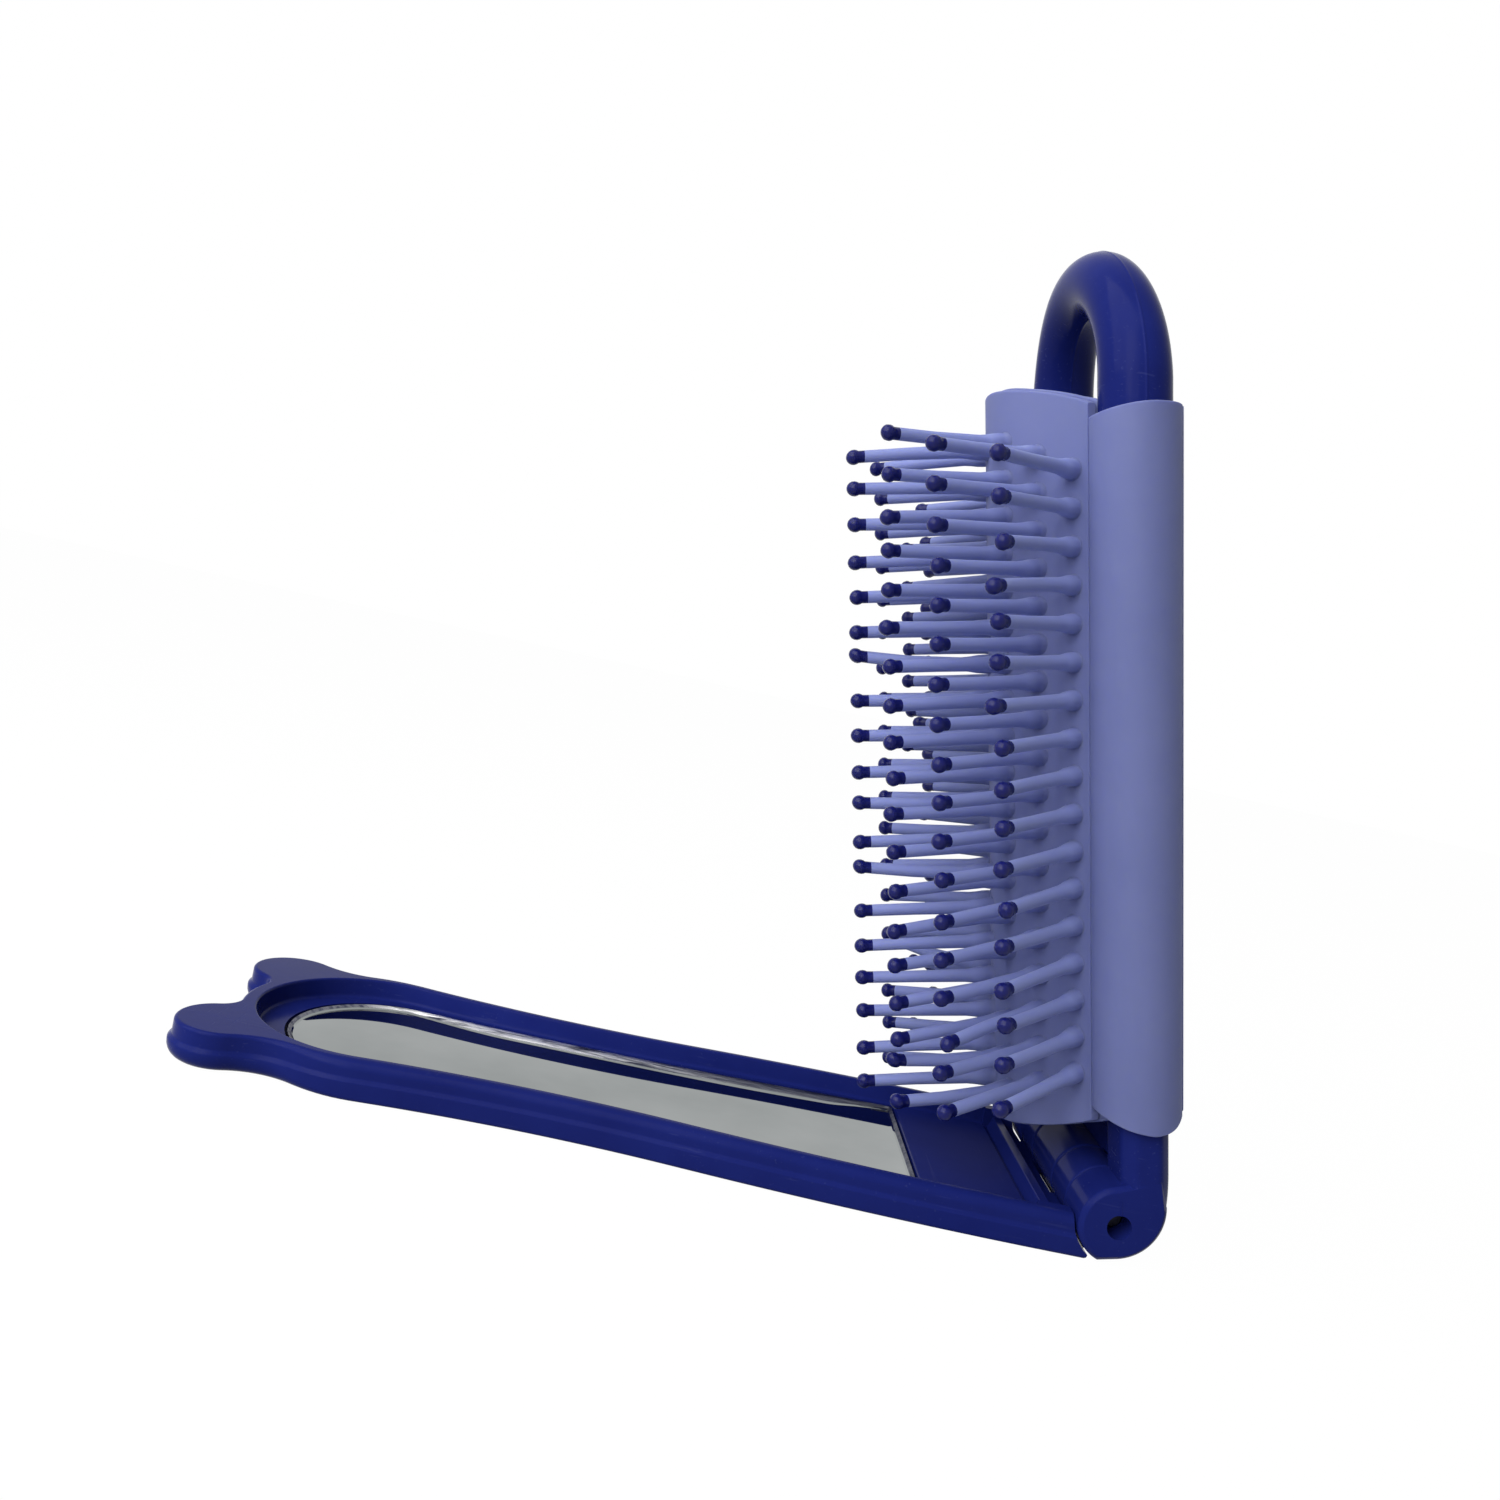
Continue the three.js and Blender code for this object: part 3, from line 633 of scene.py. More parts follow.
@dataclass(frozen=True)
class TackyTape:
    """Pale double-sided tape with small bubbles."""

    effects: SharedEffects
    name: str = "adhesive tape"
    colour: Colour = (0.66, 0.64, 0.58)
    bubble_colour: Colour = (0.8, 0.79, 0.74)
    dull: tuple[float, float] = (0.5, 0.75)
    grain: float = 0.00003

    def material(self) -> bpy.types.Material:
        """Make the material."""
        material, nodes, shader, place = new_material(self.name)
        bubbles = nodes.add("TexVoronoi", {"Vector": place, "Scale": 700.0}).outputs["Distance"]
        spots = nodes.spread(bubbles, (0.1, 0.3), (1.0, 0.0))
        clouds = nodes.place(self.effects.cloudy, {"Place": place, "Scale": 120.0})
        share = nodes.maths("MULTIPLY", spots, clouds)
        nodes.fill(shader, {"Base Color": nodes.tint(share, self.colour, self.bubble_colour),
                            "Roughness": nodes.spread(clouds, (0.0, 1.0), self.dull),
                            "Normal": nodes.bump(spots, 0.3, self.grain)})
        return material


@dataclass(frozen=True)
class Finishes:
    """The materials of all pieces."""

    hard: bpy.types.Material
    soft: bpy.types.Material
    mirror: bpy.types.Material
    steel: bpy.types.Material
    tape: bpy.types.Material


def make_finishes() -> Finishes:
    """Build the shared effects and each material once."""
    effects = SharedEffects()
    return Finishes(
        hard=GlossyPlastic(effects).material(),
        soft=SoftRubber(effects).material(),
        mirror=MirrorGlass(effects).material(),
        steel=PlainSteel(effects).material(),
        tape=TackyTape(effects).material(),
    )


def dress(thing: bpy.types.Object, material: bpy.types.Material, slot: Slot, body: Body,
          nodes: tuple[str, ...]) -> None:
    """Give a new piece its material and body, and hide the CAD nodes that it stands for.

    Args:
        thing: The piece.
        material: Its material.
        slot: The record's slot that it takes its finish from; not used.
        body: The body that it moves with.
        nodes: The CAD nodes that it replaces.
    """
    thing.data.materials.clear()
    thing.data.materials.append(material)
    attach(thing, body.value)
    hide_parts(*nodes)
    LOG.info("%s: %d points, %d faces, moves with %s, stands for %s", thing.name,
             len(thing.data.vertices), len(thing.data.polygons), body.value, ", ".join(nodes))


def repaint(node: str, material: bpy.types.Material) -> None:
    """Keep a CAD node as it is, with a better material."""
    thing = frame["nodes"][node]
    thing.data.materials.clear()
    thing.data.materials.append(material)
    LOG.info("%s: kept from the frame, with %s", node, material.name)


# Hinge, shared by the case and the brush

@dataclass(frozen=True)
class Hinge:
    """The hinge's axis and the sizes that its knuckles share."""

    x: float
    z: float
    lean_degrees: float = 13.7
    knuckle_radius: float = 4.0
    lug_radius: float = 4.2
    bore_radius: float = 1.3
    middle_half: float = 4.4
    gap: float = 0.3
    case_knuckle: float = 5.6
    lug_length: float = 6.1
    swing: float = 0.35
    edge_round: float = 0.28

    @property
    def axis(self) -> tuple[float, float]:
        """X and Z of the axis."""
        return self.x, self.z

    @property
    def knuckle_room(self) -> float:
        """Radius of the room that a knuckle swings in."""
        return self.knuckle_radius + self.swing

    @property
    def case_from(self) -> float:
        """Where the case's knuckle starts, from the middle plane."""
        return self.middle_half + self.gap

    @property
    def case_to(self) -> float:
        """Where the case's knuckle ends."""
        return self.case_from + self.case_knuckle

    @property
    def lug_from(self) -> float:
        """Where the brush's lug starts."""
        return self.case_to + self.gap

    @property
    def lug_to(self) -> float:
        """Where the brush's lug ends."""
        return self.lug_from + self.lug_length

    def lean(self, grid: np.ndarray) -> np.ndarray:
        """Turn points of the upright brush about the hinge into their place at rest.

        Formula: a turn about the hinge axis by the lean, then a move to the axis.
        """
        turn = math.radians(self.lean_degrees)
        x, y, z = grid[..., 0], grid[..., 1], grid[..., 2]
        return np.stack([
            self.x + x * math.cos(turn) - z * math.sin(turn),
            y,
            self.z + x * math.sin(turn) + z * math.cos(turn),
        ], axis=-1)

    def knuckle(self, start: float, end: float, center: tuple[float, float]) -> np.ndarray:
        """Give a knuckle with rounded ends, as a bar along Y."""
        corner = self.edge_round
        rise = arc((0.0, 0.0), corner, 0.0, math.pi / 2.0, 5)
        profile = np.concatenate([
            np.column_stack([self.knuckle_radius - corner + rise[::-1, 0], start + corner - rise[::-1, 1]]),
            np.column_stack([self.knuckle_radius - corner + rise[:, 0], end - corner + rise[:, 1]]),
        ])
        return turned_bar(center, profile, 96)

    def room(self, start: float, end: float, center: tuple[float, float], radius: float) -> np.ndarray:
        """Give a plain round cutter along Y."""
        return turned_bar(center, np.array([[radius, start], [radius, end]]), 128)


# Mirror case

@dataclass(frozen=True)
class SideLine:
    """One side of the case or mirror: a shoulder arc, a hollow waist arc and a round head."""

    shoulder: float
    waist: float
    head: float
    radius: float
    shoulder_at: float = 13.2
    waist_at: float = 61.0

    @property
    def waist_radius(self) -> float:
        """Radius of the waist arc, which runs tangent into the head."""
        run = self.head - self.waist_at
        return (run * run + self.waist ** 2 - self.radius ** 2) / (2.0 * (self.radius - self.waist))

    @property
    def shoulder_radius(self) -> float:
        """Radius of the shoulder arc, which runs tangent into the waist."""
        rise = self.shoulder - self.waist
        reach = self.waist_at - self.shoulder_at
        return (reach * reach / rise + rise) / 2.0 - self.waist_radius

    @property
    def shoulder_center(self) -> np.ndarray:
        """Centre of the shoulder arc."""
        return np.array([self.shoulder_at, self.shoulder - self.shoulder_radius])

    @property
    def waist_center(self) -> np.ndarray:
        """Centre of the waist arc."""
        return np.array([self.waist_at, self.waist + self.waist_radius])

    @property
    def head_center(self) -> np.ndarray:
        """Centre of the head."""
        return np.array([self.head, 0.0])

    def side(self, start: float, inset: float) -> np.ndarray:
        """Give the side from the hinge end to the head, shrunk by an inset."""
        radius = self.shoulder_radius - inset
        first = math.acos((start - self.shoulder_center[0]) / radius)
        tangent = angle_of(self.shoulder_center, self.waist_center)
        last = angle_of(self.waist_center, self.head_center)
        return np.concatenate([
            arc(self.shoulder_center, radius, first, tangent, 14),
            arc(self.waist_center, self.waist_radius + inset, tangent - math.pi, last, 48)[1:],
        ])

    def plain(self, start: float, inset: float) -> np.ndarray:
        """Give the closed outline with a plain round head, shrunk by an inset."""
        tangent = angle_of(self.waist_center, self.head_center) + math.pi
        head = arc(self.head_center, self.radius - inset, tangent, 0.0, 40)[1:]
        return closed(np.concatenate([self.side(start, inset), head]))


def closed(half: np.ndarray) -> np.ndarray:
    """Mirror a half outline over the middle line, the point on the line kept once."""
    back = half[::-1][1:] * np.array([1.0, -1.0])
    return np.concatenate([half, back])


def fillet_center(first: np.ndarray, first_radius: float, second: np.ndarray, second_radius: float,
                  fillet: float, side: float) -> np.ndarray:
    """Give the centre of the fillet that touches two circles from outside.

    Formula: the corner of the triangle on the line between the centres whose other sides are each
    radius plus the fillet.
    """
    near = first_radius + fillet
    far = second_radius + fillet
    line = second - first
    gap = float(np.hypot(*line))
    along = (gap * gap + near * near - far * far) / (2.0 * gap)
    across = math.sqrt(near * near - along * along) * side
    line = line / gap
    return first + line * along + np.array([-line[1], line[0]]) * across


@dataclass
class MirrorCase:
    """The hard case with two ears: a raised rim round a recess, a rib, and two knuckles.

    Places along the case are distances from the hinge axis. At the ears the wall has a rounder foot
    and a crisper top than along the sides, with a smooth change from one distance to another.
    """

    hinge: Hinge
    line: SideLine = SideLine(shoulder=16.35, waist=14.1, head=83.0, radius=15.5)
    glass_line: SideLine = SideLine(shoulder=13.2, waist=11.0, head=81.1, radius=11.6)
    start: float = 2.4
    ear_at: float = 96.7
    ear_side: float = 10.6
    ear_radius: float = 5.3
    neck_fillet: float = 8.0
    valley_fillet: float = 2.6
    height: float = 4.25
    foot_round: float = 0.5
    ear_foot_round: float = 1.7
    step_height: float = 2.1
    step_inset: float = 0.35
    step_soft: tuple[float, float] = (0.05, 0.12)
    top_round: float = 0.4
    side_top_round: float = 1.15
    ear_share_from: float = 80.0
    ear_share_to: float = 94.0
    rim_width: float = 1.75
    recess_depth: float = 2.25
    recess_draft: float = 0.25
    recess_start: float = 8.0
    floor_fillet: float = 0.45
    inner_round: float = 0.3
    rib_start: float = 5.3
    rib_width: float = 2.1
    rib_half: float = 13.2
    rib_rise: float = 1.35
    rib_top_width: float = 1.2
    rib_soft: tuple[float, float] = (0.12, 0.1)
    groove_width: float = 0.5
    groove_depth: float = 0.35
    glass_start: float = 20.0
    glass_thickness: float = 0.9
    arm_rise: float = 0.04
    arm_overlap: float = 0.6
    arm_gap: float = 0.05
    sill_ends: tuple[float, float] = (4.9, 1.6)
    sill_from: float = 0.02
    sill_height: float = 0.22
    lug_room: float = 4.42
    glass_gap: float = 0.3
    tape_thickness: float = 0.2
    overrun: float = 1.0

    @property
    def floor(self) -> float:
        """Height of the recess floor, and of the mirror's face."""
        return self.height - self.recess_depth

    def placed(self, outline: np.ndarray) -> np.ndarray:
        """Turn distances from the hinge into X."""
        return np.column_stack([self.hinge.x - outline[:, 0], outline[:, 1]])

    def outline(self, inset: float) -> np.ndarray:
        """Give the outline with its ears, shrunk by an inset.

        Formula: side arcs, part of the head, a hollow neck fillet, the ear, a hollow valley fillet
        and the head up to the middle line, all tangent to each other.
        """
        line = self.line
        head = line.head_center
        ear = np.array([self.ear_at, self.ear_side])
        neck = fillet_center(head, line.radius, ear, self.ear_radius, self.neck_fillet, 1.0)
        valley = fillet_center(head, line.radius, ear, self.ear_radius, self.valley_fillet, -1.0)
        whole = 2.0 * math.pi
        head_start = angle_of(line.waist_center, head) + math.pi
        half = np.concatenate([
            line.side(self.start + inset, inset),
            arc(head, line.radius - inset, head_start, angle_of(head, neck), 9)[1:-1],
            arc(neck, self.neck_fillet + inset, angle_of(neck, head) + whole, angle_of(neck, ear) + whole,
                14),
            arc(ear, self.ear_radius - inset, angle_of(ear, neck), angle_of(ear, valley), 40)[1:-1],
            arc(valley, self.valley_fillet + inset, angle_of(valley, ear),
                angle_of(valley, head) + whole, 16),
            arc(head, line.radius - inset, angle_of(head, valley), 0.0, 12)[1:],
        ])
        return self.placed(closed(half))

    def shell(self) -> bpy.types.Object:
        """Make the outer shell: a round foot, a lower band, a step and a round top edge.

        Formula: the outline shrunk by each point of the wall's profile. The profile changes
        smoothly from that of the long sides to that of the ears.
        """
        sides = self.wall_profile(self.foot_round, self.side_top_round)
        ears = self.wall_profile(self.ear_foot_round, self.top_round)
        along = self.hinge.x - self.outline(0.0)[:, 0]
        share = smooth_step(self.ear_share_from, self.ear_share_to, along)[:, None]
        rings = []
        for side, ear in zip(sides, ears):
            plan = self.outline(side[0]) * (1.0 - share) + self.outline(ear[0]) * share
            rings.append(np.column_stack([plan, side[1] * (1.0 - share) + ear[1] * share]))
        return Skin().tube(np.stack(rings)).build("mirror_case")

    def wall_profile(self, foot_round: float, top_round: float) -> np.ndarray:
        """Give the side wall's profile as insets and heights, from the bottom to the top."""
        foot = arc((foot_round, foot_round), foot_round, 1.5 * math.pi, math.pi, 8)
        top = arc((self.step_inset + top_round, self.height - top_round), top_round,
                  math.pi, math.pi / 2.0, 8)
        cut, run = self.step_soft
        step_top = self.step_height + self.step_inset
        step = np.array([[0.0, self.step_height - run], [cut, self.step_height],
                         [self.step_inset - cut, step_top - cut], [self.step_inset, step_top + run]])
        return np.concatenate([foot, step, top])

    def recess(self) -> np.ndarray:
        """Give the recess cutter, with a filleted floor and a rounded inner rim edge."""
        wall = self.step_inset + self.rim_width
        fillet = self.floor_fillet
        edge = self.inner_round
        low = arc((wall + self.recess_draft, self.floor + fillet), fillet, -math.pi / 2.0, -math.pi, 6)
        low = low + np.array([fillet, 0.0])
        high = arc((wall - edge, self.height - edge), edge, 0.0, math.pi / 2.0, 5)
        profile = np.concatenate([low, high, [[wall - edge, self.height + self.overrun]]])
        outlines = [self.placed(self.line.plain(self.recess_start, inset)) for inset in profile[:, 0]]
        return stack(outlines, profile[:, 1])

    def pocket(self) -> np.ndarray:
        """Give the cutter of the pocket that holds the mirror and its tape."""
        outline = self.placed(self.glass_line.plain(self.glass_start - self.glass_gap, -self.glass_gap))
        bottom = self.floor - self.glass_thickness - self.tape_thickness
        return stack([outline, outline], [bottom, self.height + self.overrun])

    def hinge_floor(self) -> list[np.ndarray]:
        """Give the cutters of the low floor at the hinge and of the groove before the rib."""
        x = self.hinge.x
        side = self.rib_half + self.glass_gap
        end = self.rib_start + self.rib_width
        top = self.height + self.overrun
        return [
            block((x - self.recess_start - self.overrun, x), (-side, side), (self.floor, top)),
            block((x - end - self.groove_width, x - end), (-self.rib_half, self.rib_half),
                  (self.floor - self.groove_depth, top)),
        ]

    def rib(self) -> np.ndarray:
        """Give the rib beside the hinge, with sloping flanks and a flat top."""
        slope = (self.rib_width - self.rib_top_width) / 2.0
        right = self.hinge.x - self.rib_start
        left = right - self.rib_width
        top = self.floor + self.rib_rise
        run, drop = self.rib_soft
        section = np.array([
            [left, self.floor - self.groove_depth], [right, self.floor - self.groove_depth],
            [right, self.floor], [right - slope, top - drop], [right - slope - run, top],
            [left + slope + run, top], [left + slope, top - drop], [left, self.floor],
        ])
        return stand([section, section], [-self.rib_half, self.rib_half])

    def knuckle_and_arm(self, side: Side) -> list[bpy.types.Object]:
        """Make one knuckle, with the arm that carries it from the rib."""
        hinge = self.hinge
        low, high = stretch(side, hinge.case_from, hinge.case_to)
        arm = block((hinge.x - self.rib_start - self.arm_overlap, hinge.x),
                    (low + self.arm_gap, high - self.arm_gap),
                    (self.foot_round, self.floor + self.arm_rise))
        return solids(hinge.knuckle(low, high, hinge.axis), arm)

    def sill(self) -> np.ndarray:
        """Give the thin sill under the knuckles, which closes the sight line to the floor."""
        return block((self.hinge.x - self.sill_ends[0], self.hinge.x - self.sill_ends[1]),
                     (-self.rib_half, self.rib_half), (self.sill_from, self.sill_height))

    def build(self, finishes: Finishes) -> None:
        """Make the case by joins and cuts, and dress it."""
        hinge = self.hinge
        case = self.shell()
        combine(case, solids(self.recess(), *self.hinge_floor()), Join.CUT)
        combine(case, solids(self.rib()), Join.ADD)
        lug_rooms = [hinge.room(*stretch(side, hinge.case_to, hinge.lug_to + self.overrun), hinge.axis,
                                self.lug_room) for side in Side]
        middle_room = hinge.room(-hinge.case_from, hinge.case_from, hinge.axis, hinge.knuckle_room)
        combine(case, solids(self.pocket(), middle_room, *lug_rooms), Join.CUT)
        for side in Side:
            combine(case, self.knuckle_and_arm(side), Join.ADD)
        combine(case, solids(self.sill()), Join.ADD)
        bore = hinge.room(-hinge.lug_to, hinge.lug_to, hinge.axis, hinge.bore_radius)
        combine(case, solids(bore), Join.CUT)
        smooth(case)
        dress(case, finishes.hard, Slot.HARD, Body.CASE, ("mirror_case",))


@dataclass
class MirrorSheet:
    """The mirror sheet, whose edges roll up from its flat middle."""

    case: MirrorCase
    bevel: float = 0.12
    dish: float = 0.42
    end_roll: float = 0.7
    side_roll: float = 2.9
    roll_from: tuple[float, float] = (20.0, 28.0)
    roll_until: tuple[float, float] = (70.0, 86.0)
    first_share: float = 0.05
    steps: int = 14

    def build(self, finishes: Finishes) -> None:
        """Make the sheet as rings set in from its edge, marked with their share of the roll's height.

        Formula: the outline shrunk by each ring's inset. The face sinks from the edge by half a
        cosine wave over the roll's width, which is large along the sides and small at the ends.
        """
        case = self.case
        line = case.glass_line
        edge = arc((self.bevel, case.floor - self.bevel), self.bevel, math.pi, math.pi / 2.0, 5)
        inward = self.bevel + (self.side_roll - self.bevel) * np.linspace(self.first_share, 1.0, self.steps)
        insets = np.concatenate([edge[:, 0], inward])
        along = line.plain(case.glass_start, 0.0)[:, 0]
        share = smooth_step(*self.roll_from, along) * (1.0 - smooth_step(*self.roll_until, along))
        width = self.end_roll + (self.side_roll - self.end_roll) * share
        sunk = np.clip((insets[:, None] - self.bevel) / (width[None] - self.bevel), 0.0, 1.0)
        rise = (1.0 + np.cos(math.pi * sunk)) / 2.0
        heights = case.floor - self.dish * (1.0 - rise)
        heights[:len(edge)] = edge[:, 1][:, None]
        outlines = np.stack([case.placed(line.plain(case.glass_start + inset, inset)) for inset in insets])
        grid = np.concatenate([outlines, heights[..., None]], axis=2)
        foot = grid[:1].copy()
        foot[..., 2] = case.floor - case.glass_thickness
        grid = np.concatenate([foot, grid])
        mark = np.concatenate([rise[:1], rise])
        plate = Skin().tube(grid, mark).build("mirror_sheet", "rise")
        smooth(plate)
        dress(plate, finishes.mirror, Slot.MIRROR, Body.CASE, ("mirror_plate",))


# Brush frame

@dataclass
class BrushFrame:
    """The hard frame: two round legs, a finger loop, square feet, lugs and a hollow web.

    The frame is made upright, with the hinge axis at the origin, and leaned at the end. The back of
    a foot tucks in towards its lower end, the loop bends a little to the front, and so does the top
    of the far leg.
    """

    hinge: Hinge
    rod: float = 3.7
    leg_back: float = 3.0
    arch_start: float = 87.2
    arch_bend: float = 0.8
    arch_taper: float = 0.1
    foot_top: float = 11.0
    foot_ease: tuple[float, float] = (0.4, 0.2)
    foot_blend: float = 1.6
    foot_front: float = 0.55
    foot_back: float = 5.6
    foot_start: float = 1.1
    foot_full: float = 5.0
    foot_tuck: float = 0.12
    foot_crisp: float = 40.0
    foot_chamfer: float = 1.2
    lug_flat: float = 3.57
    heel_radius: float = 5.33
    heel_at: tuple[float, float] = (-0.19, 1.76)
    lug_top: float = 4.6
    ridge_at: tuple[float, float] = (0.1, 0.26)
    ridge_top: float = 2.8
    ridge_height: float = 0.08
    ridge_root: float = 0.1
    far_leg_shift: float = 0.5
    shift_run: float = 9.0
    lug_chamfer: float = 0.45
    lug_soft: float = 0.1
    lug_ease: tuple[float, float] = (0.04, 0.03)
    web_top: float = 9.5
    web_front: float = 0.9
    web_thickness: float = 2.4
    web_hollow: float = 0.9
    seam_height: float = 0.05
    seam_width: float = 0.12
    ring_step: float = 1.0
    overlap: float = 1.0

    @property
    def leg_side(self) -> float:
        """Distance of a leg's middle line from the middle plane."""
        return self.hinge.lug_to - self.rod

    def section_angles(self) -> np.ndarray:
        """Give the angles round the rod, closer together where the mould seams run."""
        even = np.arange(72) * math.radians(5.0)
        near_seam = np.radians([-3.2, -2.1, -1.2, 1.2, 2.1, 3.2])
        seams = [math.pi / 2.0, 1.5 * math.pi]
        extra = np.concatenate([seam + near_seam for seam in seams])
        return np.sort(np.concatenate([even, extra]))

    def foot_radius(self, angles: np.ndarray) -> np.ndarray:
        """Give the distance from the leg's middle line to the foot's skin at each angle.

        Formula: a high power mean of the reaches of four flat sides and two chamfers, which rounds
        the corners. Angle 0 points to the back and a quarter turn points outwards.
        """
        front = self.leg_back - self.foot_front
        back = self.foot_back - self.leg_back
        inner = self.leg_side - self.hinge.lug_from
        outer = self.rod
        half = math.sqrt(0.5)
        sides = (
            (0.0, back), (math.pi / 2.0, outer), (math.pi, front), (1.5 * math.pi, inner),
            (0.75 * math.pi, (front + outer - self.foot_chamfer) * half),
            (0.25 * math.pi, (back + outer - self.foot_chamfer) * half),
        )
        power = self.foot_crisp
        reach = sum((np.maximum(np.cos(angles - turn), 0.0) / size) ** power for turn, size in sides)
        return reach ** (-1.0 / power)

    def rail(self) -> bpy.types.Object:
        """Make the rod from one foot over the loop to the other foot.

        Formula: rings about a middle line that goes up, round a half circle and down. A ring's
        radius runs from the foot's section to the round rod, plus a fine seam on both sides.
        """
        angles = self.section_angles()
        foot_end = self.foot_top + self.foot_blend
        fade_from, fade_start = (self.foot_top - ease for ease in self.foot_ease)
        up = np.concatenate([np.linspace(self.foot_start, self.foot_full, 9),
                             np.linspace(self.foot_full + self.ring_step, fade_from, 4),
                             np.linspace(fade_start, foot_end, 9),
                             np.linspace(foot_end + 2.0 * self.ring_step, self.arch_start, 24)])
        turn = np.linspace(0.0, math.pi, 73)[1:-1]
        zeros = np.zeros_like(up)
        along = np.concatenate([up, np.full_like(turn, self.arch_start), up[::-1]])
        bend = np.concatenate([zeros, turn, zeros + math.pi])
        center_y = -self.leg_side * np.cos(bend)
        center_z = along + self.leg_side * np.sin(bend)
        outward = np.stack([-np.cos(bend), np.sin(bend)], axis=1)
        rise = np.maximum(np.sin(bend), 0.0)
        height = np.where(rise > 1e-6, foot_end, along)
        foot_share = (1.0 - smooth_step(fade_from, foot_end, height))[:, None]
        round_part = (self.rod * (1.0 - self.arch_taper * rise))[:, None]
        seam = self.seam_height * (hump(angles, math.pi / 2.0, self.seam_width / self.rod)
                                   + hump(angles, 1.5 * math.pi, self.seam_width / self.rod))
        radius = foot_share * self.foot_radius(angles) + (1.0 - foot_share) * (round_part + seam)
        tuck = np.maximum(self.foot_full - along, 0.0) / (self.foot_full - self.foot_start)
        radius = radius * (1.0 - self.foot_tuck * (tuck ** 2)[:, None] * np.maximum(np.cos(angles), 0.0))
        upper = smooth_step(self.arch_start - self.shift_run, self.arch_start, along)
        far = (1.0 - np.cos(bend)) / 2.0 * upper
        shift = self.arch_bend * rise ** 2 + self.far_leg_shift * far
        x = self.leg_back - shift[:, None] + radius * np.cos(angles)
        out = radius * np.sin(angles)
        y = center_y[:, None] + out * outward[:, :1]
        z = center_z[:, None] + out * outward[:, 1:]
        grid = np.stack([x, y, z], axis=-1)
        return Skin().tube(self.hinge.lean(grid)).build("brush_frame_rail")

    def lug_outline(self, inset: float) -> np.ndarray:
        """Give the lug's outline in X and Z: round in front, flat below, with a wide arc to the heel."""
        radius = self.hinge.lug_radius - inset
        flat_from = math.pi + math.asin((self.lug_flat - inset) / radius)
        return np.concatenate([
            arc((0.0, 0.0), radius, math.pi / 2.0, flat_from, 44),
            arc(self.heel_at, self.heel_radius - inset, 1.5 * math.pi, 2.0 * math.pi, 40),
            [[self.foot_back - self.foot_chamfer, self.lug_top]],
        ])

    def lug(self, side: Side) -> bpy.types.Object:
        """Make one lug with chamfered ends, as outlines stacked along Y."""
        chamfer, soft = self.lug_chamfer, self.lug_soft
        inset_ease, end_ease = self.lug_ease
        insets = (chamfer + soft, chamfer, inset_ease, 0.0)
        steps = (0.0, end_ease, chamfer, chamfer + soft)
        places = ([self.hinge.lug_from + step for step in steps]
                  + [self.hinge.lug_to - step for step in steps[::-1]])
        outlines = [self.lug_outline(inset) for inset in insets + insets[::-1]]
        rings = stand(outlines, [side.value * place for place in places])
        return solids(self.hinge.lean(rings))[0]

    def web(self) -> bpy.types.Object:
        """Make the web between the feet, whose front is a hollow arc."""
        middle = self.web_top / 2.0
        hollow = (middle ** 2 + self.web_hollow ** 2) / (2.0 * self.web_hollow)
        reach = math.asin(middle / hollow)
        front = arc((self.web_front + self.web_hollow - hollow, middle), hollow, -reach, reach, 20)
        back = self.web_front + self.web_hollow + self.web_thickness
        outline = np.concatenate([[[back, 0.0], [back, self.web_top]], front[::-1]])
        half = self.hinge.lug_from + self.overlap
        return solids(self.hinge.lean(stand([outline, outline], [-half, half])))[0]

    def ridge(self) -> np.ndarray:
        """Give the fine raised line above the hinge hole, on the near lug only."""
        hinge = self.hinge
        return block(self.ridge_at, (-(hinge.lug_to + self.ridge_height), -(hinge.lug_to - self.overlap)),
                     (hinge.bore_radius - self.ridge_root, self.ridge_top))

    def build(self, finishes: Finishes) -> None:
        """Join the rail, web, lugs and middle knuckle, cut the bore and dress the frame."""
        hinge = self.hinge
        axis = (0.0, 0.0)
        web = self.web()
        rooms = [hinge.room(hinge.middle_half, hinge.lug_from, axis, hinge.knuckle_room),
                 hinge.room(-hinge.lug_from, -hinge.middle_half, axis, hinge.knuckle_room)]
        combine(web, solids(*[hinge.lean(grid) for grid in rooms]), Join.CUT)
        middle = hinge.knuckle(-hinge.middle_half, hinge.middle_half, axis)
        knuckle_and_ridge = solids(hinge.lean(middle), hinge.lean(self.ridge()))
        whole = combine(self.rail(), [self.lug(Side.NEAR), self.lug(Side.FAR), web, *knuckle_and_ridge],
                        Join.ADD)
        reach = hinge.lug_to + self.overlap
        bore = hinge.room(-reach, reach, axis, hinge.bore_radius)
        combine(whole, solids(hinge.lean(bore)), Join.CUT)
        smooth(whole)
        dress(whole, finishes.hard, Slot.HARD, Body.BRUSH, ("brush_frame",))


# Bristle moulding

